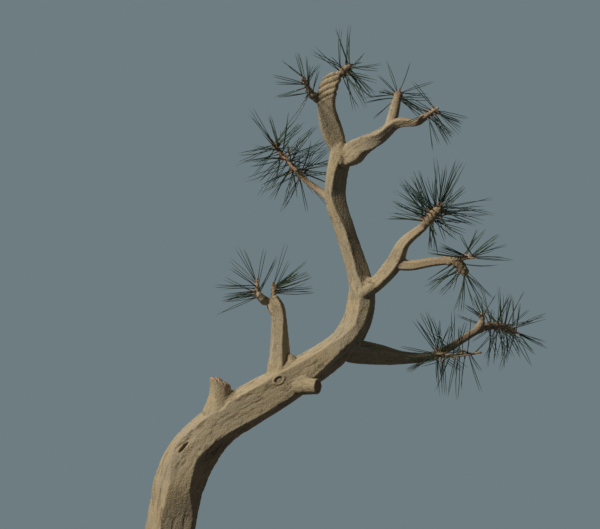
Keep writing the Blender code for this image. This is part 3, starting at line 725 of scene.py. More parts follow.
# %% [markdown]
# ## Marks of age
# Carving moves the skin's points along its normals. The split opens where the trunk was bent. The
# eye is a branch's scar that healed to a ring round a small button. The crown's left arm was cut back
# year after year, and each cut left a fold of bark. The split's inside, the eye's groove, a line just
# outside the eye's rim on its lower right side and the folds' valleys are also painted dark as shade.

# %% Split, eye and folds
def from_spot(spot, lean):
    """Each point's place from a spot on the front, along a line leaning right from upright, and across it."""
    off, lean = places - spot, math.radians(lean)
    along = off[:, 0] * math.sin(lean) + off[:, 2] * math.cos(lean)
    across = off[:, 0] * math.cos(lean) - off[:, 2] * math.sin(lean)
    return along, across, places[:, 1] < -14


SPLIT_LEAN, SPLIT_HALF, SPLIT_DEPTH, SPLIT_LIP = 41, 9, 3.2, 0.7
along, across, front_side = from_spot(SPLIT, SPLIT_LEAN)
taper = np.clip(1 - (along / SPLIT_HALF) ** 2, 0, 1) * front_side
# This mask sets how deep the split is carved, and also paints its inside dark as painted shade.
carved_and_shaded = bell(across, 0.5 + 1.1 * taper) * soft_step(taper * 2)
push = SPLIT_LIP * taper * bell(np.abs(across) - 2.6, 0.9) - SPLIT_DEPTH * carved_and_shaded

EYE_LEAN, EYE_HALF_LENGTH, EYE_HALF_WIDTH = 60, 6.4, 4.4
along, across, front_side = from_spot(EYE, EYE_LEAN)
away = np.hypot(along / EYE_HALF_LENGTH, across / EYE_HALF_WIDTH)
here = front_side * (away < 2.2)
push += here * (1.1 * bell(away - 1.02, 0.24) - 1.5 * bell(away, 0.72) + 1.3 * bell(away, 0.3))
# The ring is painted shade: the groove inside the rim, and a line outside the rim on its lower right side.
ring = bell(away - 0.62, 0.15) + 0.8 * bell(away - 1.42, 0.14) * (across > 0)
carved_and_shaded = np.maximum(carved_and_shaded, here * ring)

FOLD_LOW, FOLD_HIGH, FOLD_PITCH, FOLD_RISE, FOLD_SINK = 677, 711, 7.2, 1.9, 1.3
x, y, z = places.T
climb = z - 0.5 * (x - 99) + 0.7 * np.sin(x / 4.1) + 0.7 * np.sin(y / 5.2)
folded = shares["crown_left_bough"] * fade_in(climb, FOLD_LOW, 6) * fade_out(climb, FOLD_HIGH, 5)
wave = np.abs(np.sin(climb * math.pi / FOLD_PITCH))
push += folded * (FOLD_RISE * np.sqrt(wave) - FOLD_SINK)
# The folds' valleys are painted dark as painted shade.
carved_and_shaded = np.maximum(carved_and_shaded, 0.85 * folded * bell(wave, 0.3))
places += read_places(skin, "normal") * push[:, None]
print("split, eye and folds move the skin from", round(push.min(), 1), "to", round(push.max(), 1), "mm")

# %% [markdown]
# The snapped stub ends in torn fibres: a tall splinter, a cleft and a slope of short ones, all bare of
# bark. The sawn stub is a flat face inside a lip of bark that has begun to roll over it.

# %% Snapped stub
SNAPPED_RIGHT, SNAPPED_UP = 0.53, 0.848
FIBRES, SPLINTER, CLEFT = 2.4, 2.2, 5.5
torn = np.zeros(len(places))
off = places - SNAPPED
above = off[:, 0] * SNAPPED_RIGHT + off[:, 2] * SNAPPED_UP
for i in np.nonzero((np.hypot(off[:, 0], off[:, 1]) < 17) & (above > -12))[0]:
    x, y, z = off[i]
    fibre = noise.noise(Vector((x / 2.1, y / 2.1, 5))) + 0.5 * noise.noise(Vector((x / 0.9, y / 0.9, 8)))
    top = clamp((above[i] + 3.5) / 3)
    cleft = bell(x + 5.4 + 0.25 * y, 1.3)
    splinter = bell(x + 10.5, 2.6)
    places[i, 2] += top * (FIBRES * fibre + SPLINTER * splinter - CLEFT * cleft)
    edge = noise.noise(Vector((x / 2.6, y / 2.6, z / 9)))
    torn[i] = clamp((above[i] + 5.2 + 4 * edge) / 1.2)
    # The cleft is painted dark as painted shade.
    carved_and_shaded[i] = max(carved_and_shaded[i], 0.9 * cleft * clamp((above[i] + 7) / 2))

# %% Sawn stub
SAWN_WAY = np.array(Vector((24, -14, 0)).normalized())
CUT_RADIUS, CUT_DEPTH, LIP_RADIUS, LIP_LENGTH, LIP_SWELL = 7.6, 1.4, 8.2, 0.9, 0.5
off = places - SAWN
ahead_by = off @ SAWN_WAY
spoke = off - ahead_by[:, None] * SAWN_WAY
away = np.linalg.norm(spoke, axis=1)
near_end = fade_in(ahead_by, -4.5, 2) * (away < 13) * (ahead_by < 5)
sawn = near_end * fade_out(away, CUT_RADIUS, 1.3)
lip = near_end * bell(away - LIP_RADIUS, 1.1)
places += SAWN_WAY * (sawn * (-CUT_DEPTH - ahead_by) + lip * LIP_LENGTH)[:, None]
places += spoke / np.maximum(away, 1)[:, None] * (lip * LIP_SWELL)[:, None]
marked = np.clip(carved_and_shaded + torn + sawn + folded, 0, 1)
write_places(skin, places)
print("bare wood on", int((torn > 0.5).sum() + (sawn > 0.5).sum()), "points")

# %% [markdown]
# ## The foot
# Where an old pine meets the soil its trunk swells into the tops of its roots, with hollows between
# them. Each root is a ridge at its own angle round the trunk, highest at the soil and gone a few
# fingers up, so that the line where bark meets soil winds in and out.

# %% Root ridges
ROOTS = (-163, -118, -66, -14, 38, 84, 137)
ROOT_TOP, ROOT_FOOT, ROOT_WIDTH = 136, 84, 13
ROOT_RISE, ROOT_HOLLOW = 4.2, 1.6
facing = np.degrees(seats["trunk"].angle)
low = np.clip((ROOT_TOP - places[:, 2]) / (ROOT_TOP - ROOT_FOOT), 0, 1) ** 1.5
ridge = sum(bell((facing - root + 180) % 360 - 180, ROOT_WIDTH) for root in ROOTS)
out = outward("trunk")
out[:, 2] = 0
places += out * (low * (ROOT_RISE * ridge - ROOT_HOLLOW))[:, None]
write_places(skin, places)
print("points moved by the roots:", int((low > 0).sum()))

# %% [markdown]
# ## Bark
# Old pine bark splits lengthwise into plates that stand on dark cracks, and flakes in thin layers.
# On young wood the plates are small and shallow. Each point's place round and along its limb gives
# coordinates in which every limb is straight, and a cell pattern there makes plates that follow it.
# The nearest cell centre says which plate a point is on, and how close the second nearest is says
# how near the point is to a crack. The place is first shaken by noise, so that cracks wander. The
# plate's own number lifts it and gives its tint.

# %% Plates and cracks
SHAKES = ((1.6, 0.34), (5, 0.12))
CRACK_WIDTH, CROSS_GRAIN = 0.2, 0.7
LIMB_APART = 17
crack, lift, tint = (np.zeros(len(places)) for _ in range(3))
for number, (name, limb) in enumerate(limbs.items()):
    here = np.nonzero(shares[name])[0]
    k, along, angle, _ = (values[here] for values in seats[name])
    size = limb.radii[k] / limb.plates[k]
    lengthwise = limb.lengths[k] + along / limb.plates[k] / PLATE_STRETCH + number * LIMB_APART
    unbent = np.column_stack((np.cos(angle) * size, np.sin(angle) * size, lengthwise))
    for i, place in zip(here, unbent):
        place = Vector(place)
        place += sum((noise.noise_vector(place * often) * far for often, far in SHAKES), Vector())
        (first, second, *_), cells = noise.voronoi(place)
        share = shares[name][i]
        own = noise.cell(cells[0] * 7.3 + Vector((0.5, 0.5, 0.5)))
        split = 1 - clamp((second - first) / CRACK_WIDTH)
        # Bark splits along the grain, so a crack across it is weaker, and some stretches stay closed.
        along_grain = 1 - CROSS_GRAIN * abs((cells[1] - cells[0]).normalized().z)
        open_here = clamp(0.62 + 1.5 * noise.noise(place * 0.8), 0.15)
        crack[i] += share * split * split * (3 - 2 * split) * along_grain * open_here
        flake = noise.noise(place * Vector((2.2, 2.2, 1.1)))
        lift[i] += share * (own * 0.5 + round(flake * 3) / 3 * 0.5)
        tint[i] += share * own
crack *= 1 - marked
lift *= 1 - marked
print("share of the skin in cracks:", round(float((crack > 0.5).mean()), 3))

# %% [markdown]
# Each point now moves along its normal: down into a crack, up by its plate's lift, less on thin
# limbs. The numbers are also kept as attributes, for the colours.

# %% Relief
RELIEF, RELIEF_BY_RADIUS = 0.12, 0.022
BASE_RISE, LIFT_RISE, CRACK_DROP = 0.15, 0.4, 1.1
radius_here = sum(shares[name] * limb.radii[seats[name].sample] for name, limb in limbs.items())
depth = RELIEF + RELIEF_BY_RADIUS * radius_here
rise = depth * (BASE_RISE + LIFT_RISE * lift - CRACK_DROP * crack)
places += read_places(skin, "normal") * rise[:, None]
write_places(skin, places)
print("relief from", round(float(rise.min()), 2), "to", round(float(rise.max()), 2), "mm")

# %% [markdown]
# Creases are painted darker, partly as dust and damp and partly as painted shade, and edges wear pale.
# How far a point lies below the mean of its neighbours tells one from the other. Young wood is the thin
# wood, whose bark is still ruddy.

# %% Creases and edges
ends = np.empty(len(skin.data.edges) * 2, np.int32)
skin.data.edges.foreach_get("vertices", ends)
ends = ends.reshape(-1, 2)
beside = np.concatenate((ends, ends[:, ::-1])).T
count = np.bincount(beside[0], minlength=len(places))


def mean_beside(values):
    """For each point, the mean of a number over its neighbours."""
    return np.bincount(beside[0], values[beside[1]], len(places)) / count


mean = np.column_stack([mean_beside(axis) for axis in places.T])
hollow = ((mean - places) * read_places(skin, "normal")).sum(axis=1) / radius_here ** 0.5
for _ in range(2):
    hollow = (hollow + mean_beside(hollow)) / 2
YOUNG_RADIUS, YOUNG_RANGE = 6.8, 3.6
young = np.clip((YOUNG_RADIUS - radius_here) / YOUNG_RANGE, 0, 1)
# The crack attribute holds the bark's real cracks and the painted shade of the split, eye, folds and cleft.
for name, values in {"crack": np.maximum(crack, carved_and_shaded), "tint": tint, "torn": torn, "sawn": sawn,
                     "hollow": hollow, "young": young}.items():
    keep_numbers(skin, name, values)
skin.data.shade_smooth()
print("hollow from", [round(float(v), 3) for v in np.percentile(hollow, (1, 10, 50, 90, 99))])

# %% [markdown]
# ## The colours of bark
# The photo's bark is a dry sandy tan, greyer in patches and dark in its cracks. Plates differ a
# little, so their tint mixes two tans, and further colours are laid over them by mask: grey and brown
# patches, the ruddy bark of young wood, worn edges, creases darkened partly as soil and partly as
# painted shade, bare wood, and the cracks, whose mask also carries painted shade in the split, the
# eye, the folds and the cleft.

# %% Bark finish
bark = Finish("bark", 0.9, 0.25)
crease = bark.attribute("hollow")
fibres = bark.node("Mapping", {"Vector": bark.place, "Scale": (420, 420, 45)}).outputs[0]
fibres = bark.node("TexNoise", {"Vector": fibres, "Scale": 1.0, "Detail": 3.0}).outputs[0]
torn_wood = bark.mix(bark.ramp(fibres, 0.4, 0.62), (0.30, 0.165, 0.10), (0.52, 0.40, 0.26))
sawn_turn = Vector(SAWN_WAY).to_track_quat("Z", "Y").to_euler()
rings = bark.node("Mapping", {"Vector": bark.place, "Location": Vector(SAWN) * MM,
                              "Rotation": sawn_turn}, vector_type="TEXTURE").outputs[0]
rings = bark.node("TexWave", {"Vector": rings, "Scale": 170.0, "Distortion": 0.6},
                  wave_type="RINGS", rings_direction="Z").outputs["Fac"]
sawn_wood = bark.mix(bark.ramp(rings, 0.2, 0.9), (0.42, 0.30, 0.17), (0.27, 0.175, 0.095))
bark.to_shader("Base Color", bark.layers(
    bark.mix(bark.attribute("tint"), (0.455, 0.366, 0.224), (0.395, 0.314, 0.188)),
    (bark.patches(22, 0.45, 0.70), (0.38, 0.32, 0.222)),
    (bark.times(bark.patches(170, 0.5, 0.7), 0.35), (0.28, 0.205, 0.115)),
    (bark.times(bark.attribute("young"), 0.85), (0.30, 0.185, 0.11)),
    # Edges are painted pale as wear. Creases are painted darker, partly as soil and partly as painted shade.
    (bark.ramp(crease, -0.01, -0.04, 0.0, 0.3), (0.52, 0.43, 0.29)),
    (bark.ramp(crease, 0.008, 0.04, 0.0, 0.7), (0.17, 0.12, 0.07)),
    (bark.attribute("torn"), torn_wood),
    (bark.attribute("sawn"), sawn_wood),
    # This mask darkens the real cracks and paints shade into the split, the eye, the folds and the cleft.
    (bark.times(bark.attribute("crack"), 0.8), (0.10, 0.068, 0.04))))
bark.dull(80, 0.80, 0.97)
bark.gritty(520, 0.45, 0.8)
skin.data.materials.clear()
skin.data.materials.append(bark.material)
hand_in(skin, "bark", *LIMBS)

# %% [markdown]
# ## Twigs and needles
# A pine bears its needles in pairs, each pair from one brown sheath, and the pairs climb the twig in
# a spiral. The rule is the source's: the turn from one to the next is the golden angle, the tilt
# falls from foot to tip, and one that would leave its tuft's space or touch a limb is tried again, a
# little shorter each time. Here the rule also grows fine side twigs, each with pairs of its own.

# %% The tufts
Tuft = namedtuple("Tuft", "twigs needles length bare crowd tilt pulls seed")
TUFTS = {
    "crown_left_needles": Tuft(
        [bends((92, -12, 676, 4.2), (81, -19, 685, 3.2), (69, -32, 700, 1.8))],
        12, 42, 0.45, 1, (30, 105), [(0, 0, 0.6), (-0.7, 0, 0.3), (-1.3, 0, -0.6), (0.2, 0, 0.9)], 11),
    "crown_top_needles": Tuft(
        [bends((106, -13, 705, 5), (117, -5, 714, 4.8), (126, 4, 722, 3.4))],
        24, 50, 0.35, 1, (45, 118),
        [(1.7, -0.8, -0.9), (-0.25, 1.1, 0.9), (1.5, -0.8, -1.3), (-1.1, -0.2, 0.4), (0.8, -0.5, -1.4),
         (0.3, 1.1, 0.8)], 31),
    "crown_right_needles": Tuft(
        [bends((207.6, -44.8, 653.5, 3.8), (217, -54, 660, 3), (224, -61, 664, 1.8))],
        15, 40, 0.35, 1, (45, 125), [(1.8, 0, -1.3), (1.6, 0, -1.6), (-1.5, 0, 0.5), (1, 0, -1.8)], 13),
    "crown_spur_needles": Tuft(
        [bends((181, 7.5, 678.5, 5), (183.6, 15, 686, 5.6), (185.5, 21, 692, 4.4))],
        16, 42, 0.4, 1, (60, 110),
        [(1.6, 0.2, -0.35), (-1.4, 0.3, 0.3), (1.5, 0.1, -0.35), (0.1, 0.6, 1), (1, 0.2, -0.9),
         (-1.3, 0.3, 0.1)], 14),
    "right_upper_needles": Tuft(
        [bends((207, -36.6, 524.5, 4.6), (218.5, -44, 537.3, 5.8), (230, -54, 551.5, 5))],
        56, 55, 0.3, 1, (18, 108),
        [(-1.6, 0, 0.4), (-0.2, 0.2, 1.2), (0.9, -0.2, -0.4), (0.5, 0.2, -1.3), (-1, 0, 0.7),
         (0.45, 0, 0.75), (0.1, 0, 1.3), (0.9, 0.2, -0.9)], 15),
    "right_middle_needles": Tuft(
        [bends((238.5, -50, 487.8, 3.7), (250.1, -54, 485, 6), (260.4, -52, 470.2, 4.4)),
         bends((247.6, -56, 487.4, 3.4), (257.2, -64, 491.8, 3.2), (262.5, -72, 490.9, 2))],
        30, 50, 0.32, 1, (30, 115),
        [(-1.1, 0, -0.8), (0.9, 0, 0.45), (-0.5, 0, -1.1), (-1, 0, 1), (0.9, 0, -0.3), (0.1, 0, 0.9)], 16),
    "right_lower_needles": Tuft(
        [bends((289.5, 82.7, 401.9, 4.5), (313, 95, 406, 4.2), (339, 105, 397, 3.2))],
        48, 48, 0.2, 1, (50, 112),
        [(-0.3, 0.4, 1), (0, 0, -1), (0.2, 0.3, 1), (0.3, 0, -0.8), (0.8, 0, 0.4), (-0.3, -0.1, -0.9)], 17),
    "lower_spur_needles": Tuft(
        [bends((292.6, 76.2, 411.4, 3.2), (293, 75, 416, 3), (293, 74, 420, 2))],
        6, 28, 0.35, 1, (40, 90), [(-0.9, 0, 0.4), (0, 0, 0.5)], 18),
    "lower_twig_needles": Tuft(
        [bends((231, 54, 372, 3.4), (237, 38, 374, 2.6), (254, 28, 372, 1.9), (282, 20, 376, 1.2))],
        38, 52, 0.14, 1.7, (65, 118),
        [(0.1, 0, 1.6), (-0.4, 0, -1), (0.2, 0, 1.5), (0.3, 0, -0.9), (0, 0, -1), (-1.4, 0, 0.15)], 19),
    "left_lower_needles": Tuft(
        [bends((33, 7, 436, 5), (23, 4, 439.5, 4.4), (15.5, 0, 446, 3.6), (14, -3, 462, 2.2)),
         bends((32, 8, 440, 4.4), (33.5, 9, 448, 3.4), (33, 9, 457, 2.2))],
        30, 51, 0.5, 1, (40, 100),
        [(-1.4, 0, -0.5), (1.3, 0, 0.25), (-1.2, 0, -0.1), (1.2, 0, 0.4), (-0.3, 0, 0.8), (1, 0, 0)], 20),
    "left_upper_needles": Tuft(
        [bends((72, 42.2, 586.4, 3), (54, 59, 607, 2.9), (32, 78, 633, 1.8))],
        66, 55, 0.1, 1, (60, 115),
        [(0.7, 0, 0.6), (-0.5, 0, -0.8), (0.7, 0, 0.5), (-0.7, 0, -0.4), (0.6, 0, 0.7), (-0.3, 0, -1),
         (-0.4, 0, 0.3)], 21),
}
print("tufts:", len(TUFTS))

# %% [markdown]
# A shoot is kept only where its tip is in its own tuft's space and it touches no limb. A tuft's space
# is what lies nearer to its middle than to any other's, each measured by that tuft's reach.

# %% Room for a shoot
LIMB_GAP = 0.8
TIP_ROOM = 10
limb_points = np.concatenate([limb.points for limb in limbs.values()])
limb_radii = np.concatenate([limb.radii for limb in limbs.values()])


def middle_of(tuft):
    spots = [centre(bend) for twig in tuft.twigs for bend in twig[1:]]
    return sum(spots, Vector()) / len(spots)


MIDDLES = {name: (middle_of(tuft), tuft.length + TIP_ROOM) for name, tuft in TUFTS.items()}


def owns(name, point):
    """Whether a point is in a tuft's space."""
    reach = {other: (point - middle).length / length for other, (middle, length) in MIDDLES.items()}
    return min(reach, key=reach.get) == name


def clear_of_limbs(start, tip):
    """Whether a straight piece keeps off every limb, its own foot left out."""
    spots = np.array([start.lerp(tip, share) for share in (0.2, 0.35, 0.5, 0.75, 1)])
    away = np.linalg.norm(spots[:, None] - limb_points[None], axis=2) - limb_radii
    return away.min() > LIMB_GAP


# %% The spiral
GOLDEN_TURN = math.pi * (3 - math.sqrt(5))
TRIES, SHORTER = 16, 0.96
LAST_SHOOT = 0.97
TILT_UNEVEN, TURN_UNEVEN, REACHES = 14, 0.3, (0.78, 1.04)


def along_twig(twig, share):
    """Place, direction and radius at a share of a twig's length."""
    line = smooth_line(twig, 4)
    lengths = [(centre(b) - centre(a)).length for a, b in zip(line, line[1:])]
    left = share * sum(lengths)
    for a, b, length in zip(line, line[1:], lengths):
        if left <= length or b is line[-1]:
            t = min(left / length, 1)
            ahead = (centre(b) - centre(a)).normalized()
            return centre(a).lerp(centre(b), t), ahead, a.radius + (b.radius - a.radius) * t
        left -= length


def way_round(ahead, turn):
    """The direction square to another at an angle round it."""
    across = ahead.orthogonal().normalized()
    return across * math.cos(turn) + ahead.cross(across) * math.sin(turn)


def spiral(name, tuft, twig, count, length, bare, tilts, pulls, chance):
    """Root, direction, length and twig radius of shoots that climb a twig by the golden angle."""
    least, most = tilts
    grown = []
    for k in range(count):
        for attempt in range(TRIES):
            outer = ((k + chance.uniform(0.1, 0.9)) / count) ** tuft.crowd
            root, ahead, radius = along_twig(twig, bare + (LAST_SHOOT - bare) * outer)
            tilt = most + (least - most) * outer ** 1.5 + chance.uniform(-TILT_UNEVEN, TILT_UNEVEN)
            tilt = math.radians(tilt)
            turn = k * GOLDEN_TURN + chance.uniform(-TURN_UNEVEN, TURN_UNEVEN) * (1 + attempt)
            way = ahead * math.cos(tilt) + way_round(ahead, turn) * math.sin(tilt)
            way = (way + Vector(pulls[k % len(pulls)])).normalized()
            reach = length * chance.uniform(*REACHES) * SHORTER ** attempt
            tip = root + way * (reach + radius)
            if owns(name, tip) and clear_of_limbs(root, tip):
                grown.append((root, way, reach, radius))
                break
    return grown


# %% [markdown]
# Each tuft grows in two steps. Its main twigs bear full pairs and short side twigs; each side twig
# then bears shorter pairs, so that the tuft's outline stays the solid's.

# %% Growing the tufts
TWIGS_A_PAIR, SIDE_LENGTH, SIDE_TILTS, SIDE_SAG = 1 / 13, 0.2, (35, 70), 0.06
THINNER, THICKEST_SIDE, SIDE_TIP = 0.62, 1.7, 0.75
SIDE_PAIR_LENGTH, SIDE_BARE, SIDE_PAIR_TILTS, MM_A_PAIR = 0.8, 0.3, (25, 75), 4.3
twigs, owners = [], []
pairs = {}


def add_twig(name, bend_line):
    twigs.append(smooth_line(bend_line, 3))
    owners.append(name)


for name, tuft in TUFTS.items():
    chance = random.Random(tuft.seed)
    pairs[name] = []
    for number, twig in enumerate(tuft.twigs):
        add_twig(name, twig)
        count = round(tuft.needles / len(tuft.twigs))
        # Two twigs share a tuft's pulls by turns, as in the source, where its needles are dealt out so.
        pulls = (tuft.pulls * len(tuft.twigs))[number::len(tuft.twigs)]
        pairs[name] += spiral(name, tuft, twig, count, tuft.length, tuft.bare, tuft.tilt, pulls, chance)
        sides = spiral(name, tuft, twig, max(1, round(count * TWIGS_A_PAIR)), tuft.length * SIDE_LENGTH,
                       tuft.bare, SIDE_TILTS, pulls, chance)
        for root, way, reach, radius in sides:
            tip = root + way * reach
            middle = root.lerp(tip, 0.5) - Vector((0, 0, reach * SIDE_SAG))
            thick = min(radius * THINNER, THICKEST_SIDE)
            side_twig = [Bend(*root, thick), Bend(*middle, thick * 0.8), Bend(*tip, SIDE_TIP)]
            add_twig(name, side_twig)
            pairs[name] += spiral(name, tuft, side_twig, round(reach / MM_A_PAIR),
                                  tuft.length * SIDE_PAIR_LENGTH, SIDE_BARE, SIDE_PAIR_TILTS, pulls, chance)
print("twigs:", len(twigs), "pairs:", {name: len(grown) for name, grown in pairs.items()})

# %% [markdown]
# ## From lines to tubes
# A twig, a bud, a sheath and a needle are all thin tubes along a line whose radius changes. One
# function makes any number of them at once from arrays, closed at both ends.

# %% Tubes from arrays
def swept(paths, radii, sides):
    """Points and faces of closed tubes. paths is tube x ring x 3, radii tube x ring or tube x ring x side."""
    count, rings = paths.shape[:2]
    ahead = unit(np.gradient(paths, axis=1))
    least = np.argmin(np.abs(paths[:, -1] - paths[:, 0]), axis=1)
    across = unit(np.cross(ahead, np.eye(3)[least][:, None]))
    other = np.cross(ahead, across)
    turn = np.arange(sides) * math.tau / sides
    if radii.ndim == 2:
        radii = radii[:, :, None]
    out = across[:, :, None] * np.cos(turn)[:, None] + other[:, :, None] * np.sin(turn)[:, None]
    points = paths[:, :, None] + out * radii[..., None]
    ring = np.arange(sides)
    row = np.stack((ring, (ring + 1) % sides, (ring + 1) % sides + sides, ring + sides), axis=1)
    walls = (row[None] + (np.arange(rings - 1) * sides)[:, None, None]).reshape(-1, 4)
    start = (np.arange(count) * rings * sides)[:, None, None]
    faces = (walls[None] + start).reshape(-1, 4).tolist()
    ends = np.stack((ring[::-1], ring + (rings - 1) * sides))
    faces += (ends[None] + start).reshape(-1, sides).tolist()
    return points.reshape(-1, 3), faces


def per_face(values, rings, sides):
    """A value for each tube, repeated for its faces in swept's order."""
    return np.concatenate((np.repeat(values, (rings - 1) * sides), np.repeat(values, 2)))


# %% [markdown]
# ## Twigs
# A pine's twig is rough, because every fallen pair leaves a raised scale. The scales climb it in the
# same spiral as the needles, so their places are worked out by the golden angle and lift the twig's
# surface in small lumps. In the photo the twigs are tan, apart from ruddy ones in three tufts.

# %% Twig and bud finishes
twig_bark = Finish("twig_bark", 0.85, 0.3)
wood, ruddy_wood = (twig_bark.patchy(*colours, 180, 0.35, 0.65) for colours in (
    ((0.38, 0.28, 0.175), (0.25, 0.17, 0.105)), ((0.27, 0.165, 0.105), (0.17, 0.095, 0.06))))
twig_bark.to_shader("Base Color", twig_bark.layers(
    wood,
    (twig_bark.attribute("ruddy"), ruddy_wood),
    (twig_bark.ramp(twig_bark.attribute("scale_tip"), 0.25, 0.8),
     twig_bark.patchy((0.52, 0.41, 0.255), (0.38, 0.275, 0.16), 60))))
twig_bark.dull(120, 0.74, 0.94)
twig_bark.gritty(900, 0.5, 0.5)
bud_scales = clouded("bud_scales", 0.6, 0.4, ((0.25, 0.135, 0.065), (0.42, 0.30, 0.18), 420),
                     (200, 0.45, 0.75), (1100, 0.5, 0.4))

# %% Twigs
TWIG_RINGS, TWIG_SIDES = 34, 16
RUDDY = ("left_upper_needles", "crown_left_needles", "lower_spur_needles")
SCALE_PITCH, SCALE_HEIGHT = 0.5, 0.26
SLIM_FOOT = 0.62


def resampled(line, rings):
    """A bend line as evenly spread ring centres and radii, and the length up to each ring."""
    points, radii = as_arrays(line)
    length = np.concatenate(([0], np.cumsum(np.linalg.norm(np.diff(points, axis=0), axis=1))))
    at = np.linspace(0, length[-1], rings)
    even = [np.interp(at, length, values) for values in (*points.T, radii)]
    return np.column_stack(even[:3]), even[3], at


paths, radii, scale_tips = [], [], []
turn = np.arange(TWIG_SIDES) * math.tau / TWIG_SIDES
for line in twigs:
    path, thick, at = resampled(line, TWIG_RINGS)
    lump = np.zeros((TWIG_RINGS, TWIG_SIDES))
    # Thicker wood has larger scales, and fewer of them for its length.
    scale_size = 0.55 + 0.25 * thick.mean()
    pitch = SCALE_PITCH * scale_size
    for k in range(int(at[-1] / pitch)):
        around = (turn - k * GOLDEN_TURN + math.pi) % math.tau - math.pi
        near_ring = bell(at - k * pitch, scale_size)[:, None]
        lump = np.maximum(lump, bell(around * thick[:, None], scale_size) * near_ring)
    to_end = np.clip((at[-1] - at) / thick[-1], 0, 1)
    # The foot is slimmer, so that the bough's own bark closes over it, and the tip is round.
    thick = thick * (SLIM_FOOT + (1 - SLIM_FOOT) * np.clip(at / (2.5 * thick[0]), 0, 1))
    thick = thick * np.maximum(np.sqrt(1 - (1 - to_end) ** 2), 0.12)
    paths.append(path)
    radii.append(thick[:, None] * 0.9 + lump * (np.minimum(thick, 6) * SCALE_HEIGHT)[:, None])
    scale_tips.append(lump)
twig_piece = mesh_piece("twigs", *swept(np.array(paths), np.array(radii), TWIG_SIDES), [twig_bark.material])
keep_numbers(twig_piece, "scale_tip", np.ravel(scale_tips))
ruddy = [owner in RUDDY for owner in owners]
keep_numbers(twig_piece, "ruddy", np.repeat(ruddy, TWIG_RINGS * TWIG_SIDES))
hand_in(twig_piece, "bark")

# %% [markdown]
# ## Buds
# A strong twig ends in one long winter bud with two small ones beside it, a thin twig in one small
# bud. A bud is a spindle of overlapping scales, which here are ridges round the spindle.

# %% Buds
BUD_RINGS, BUD_SIDES = 9, 8
BUD_PROFILE = np.array((0.55, 0.85, 0.80, 1.0, 0.92, 0.86, 0.62, 0.40, 0.06))
LONG_BUD, SMALL_BUD = (5.5, 1.6), (3.6, 1.1)
STRONG_RADIUS, BUD_LEAN, BUD_SUNK = 2, 0.75, 0.8
paths, radii = [], []
chance = random.Random(3)
for line in twigs:
    tip, ahead = centre(line[-1]), (centre(line[-1]) - centre(line[-3])).normalized()
    strong = line[0].radius > STRONG_RADIUS
    for k in range(3 if strong else 1):
        lean = way_round(ahead, k * math.tau / 2.6) * (BUD_LEAN if k else 0)
        way = (ahead + lean).normalized()
        length, thick = LONG_BUD if strong and not k else SMALL_BUD
        length *= chance.uniform(0.85, 1.2)
        paths.append([tip + way * (length * share - BUD_SUNK) for share in np.linspace(0, 1, BUD_RINGS)])
        radii.append(BUD_PROFILE * thick)
buds = mesh_piece("buds", *swept(np.array(paths, dtype=float), np.array(radii), BUD_SIDES), [bud_scales])
hand_in(buds, "bark")

# %% [markdown]
# ## Needles
# A pine needle is about a millimetre wide and five centimetres long, stiff, a little bowed, and
# deep green with a waxy sheen. Full size is right here: thinner than real would vanish in the picture,
# thicker would look like grass. Greens are dealt out by pair as three plain colours with a slight
# cloud in them, since a fine pattern would be lost on so thin a thing.

# %% Needle finishes
NEEDLE_FINISHES = [
    clouded(name, middle, 0.5, (deep, fresh, 70, 0.35, 0.65), (300, middle - 0.08, middle + 0.12))
    for name, deep, fresh, middle in (
        ("needle_deep", (0.014, 0.032, 0.017), (0.022, 0.048, 0.022), 0.42),
        ("needle_green", (0.024, 0.052, 0.024), (0.036, 0.075, 0.030), 0.45),
        ("needle_pale", (0.050, 0.085, 0.038), (0.070, 0.105, 0.045), 0.50))]
sheath = clouded("sheath", 0.8, 0.3, ((0.20, 0.13, 0.075), (0.12, 0.07, 0.04), 500), grit=(1300, 0.4, 0.3))
print("materials so far:", len(bpy.data.materials))

# %% Needles and sheaths
NEEDLE_SHARES = np.array((0, 0.25, 0.55, 0.82, 1.0))[None, :, None]
NEEDLE_RADII = (0.42, 0.52, 0.50, 0.36, 0.05)
SHEATH_PLACES = np.array((-0.6, 1.5, 3.6, 5.4))[None, :, None]
SHEATH_RADII = (0.72, 0.95, 0.88, 0.62)
SPLAY, ARCH = (1.2, 5), 0.05
TONE_SHARES = (0.45, 0.40, 0.15)
sheath_paths = []
for name, grown in pairs.items():
    chance = np.random.default_rng(TUFTS[name].seed)
    roots = np.array([root + way * min(radius * 0.8, 2) for root, way, _, radius in grown])
    ways = np.array([way for _, way, _, _ in grown])
    lengths = np.array([reach + radius for _, _, reach, radius in grown])[:, None]
    across = unit(np.cross(ways, chance.normal(size=ways.shape)))
    bow = np.cross(ways, across)
    paths = []
    for hand in (-1, 1):
        t = NEEDLE_SHARES
        apart = hand * np.tan(np.radians(chance.uniform(*SPLAY, (len(ways), 1))))
        arch = chance.uniform(-ARCH, ARCH, (len(ways), 1))
        path = roots[:, None] + ways[:, None] * (lengths[:, None] * t)
        path = path + (across * apart * lengths)[:, None] * (t - 0.35 * t ** 2)
        path = path + (bow * arch * lengths)[:, None] * 4 * t * (1 - t)
        paths.append(path)
    tones = np.tile(chance.choice(3, len(ways), p=TONE_SHARES), 2)
    points, faces = swept(np.concatenate(paths), np.tile(NEEDLE_RADII, (len(tones), 1)), 3)
    needles = mesh_piece(name.replace("needles", "pine_needles"), points, faces, NEEDLE_FINISHES,
                         per_face(tones, len(NEEDLE_RADII), 3))
    hand_in(needles, "needles", name)
    sheath_paths.append(roots[:, None] + ways[:, None] * SHEATH_PLACES)
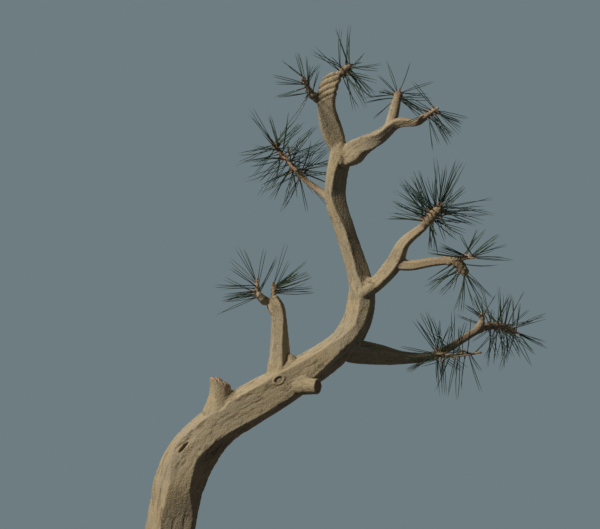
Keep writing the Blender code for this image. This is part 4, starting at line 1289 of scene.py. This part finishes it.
sheath_paths = np.concatenate(sheath_paths)
points, faces = swept(sheath_paths, np.tile(SHEATH_RADII, (len(sheath_paths), 1)), 5)
hand_in(mesh_piece("needle_sheaths", points, faces, [sheath]), "needles")

# %% [markdown]
# ## Floor, light and air
# A plain pale floor fades out well behind the pot, so the level view shows only the grey-blue air of
# the photo. One large soft lamp stands high at the front left and leaves the under sides dark;
# a weaker one from behind and the air itself keep the far side readable.

# %% Floor
bpy.ops.mesh.primitive_circle_add(vertices=96, radius=1.0, fill_type="NGON")
floor = bpy.context.object
floor.name = "floor"
paper = Finish("floor", 0.9, 0.2)
away = paper.node("VectorMath", {0: paper.place}, operation="LENGTH").outputs["Value"]
paper.to_shader("Base Color", paper.patchy((0.50, 0.52, 0.52), (0.54, 0.56, 0.56), 3, 0.3, 0.7))
paper.to_shader("Alpha", paper.ramp(away, 0.98, 0.42))
floor.data.materials.append(paper.material)
floor.visible_diffuse = False

# %% Air
world = bpy.data.worlds.new("air")
world.use_nodes = True
bpy.context.scene.world = world
air = world.node_tree
seen = air.nodes["Background"]
seen.inputs["Color"].default_value = (0.156, 0.205, 0.223, 1)
fill = add_node(air, "Background", {"Color": (0.60, 0.66, 0.70, 1), "Strength": 0.11})
which = add_node(air, "LightPath", {})
choose = add_node(air, "MixShader", {
    0: which.outputs["Is Camera Ray"], 1: fill.outputs[0], 2: seen.outputs[0]})
air.links.new(choose.outputs[0], air.nodes["World Output"].inputs["Surface"])
bpy.context.scene.view_settings.view_transform = "Standard"

# %% Lamps
AIM = Vector((0.06, 0, 0.42))


def lamp(name, place, size, power, colour):
    bpy.ops.object.light_add(type="AREA", location=place)
    made = bpy.context.object
    made.name = name
    made.data.size, made.data.energy, made.data.color = size, power, colour
    made.rotation_euler = (AIM - Vector(place)).to_track_quat("-Z", "Y").to_euler()


lamp("key", (-2.05, -1.5, 2.3), 0.5, 100, (1.0, 0.95, 0.86))
lamp("back", (-0.9, 2.4, 1.9), 1.2, 22, (0.92, 0.96, 1.0))
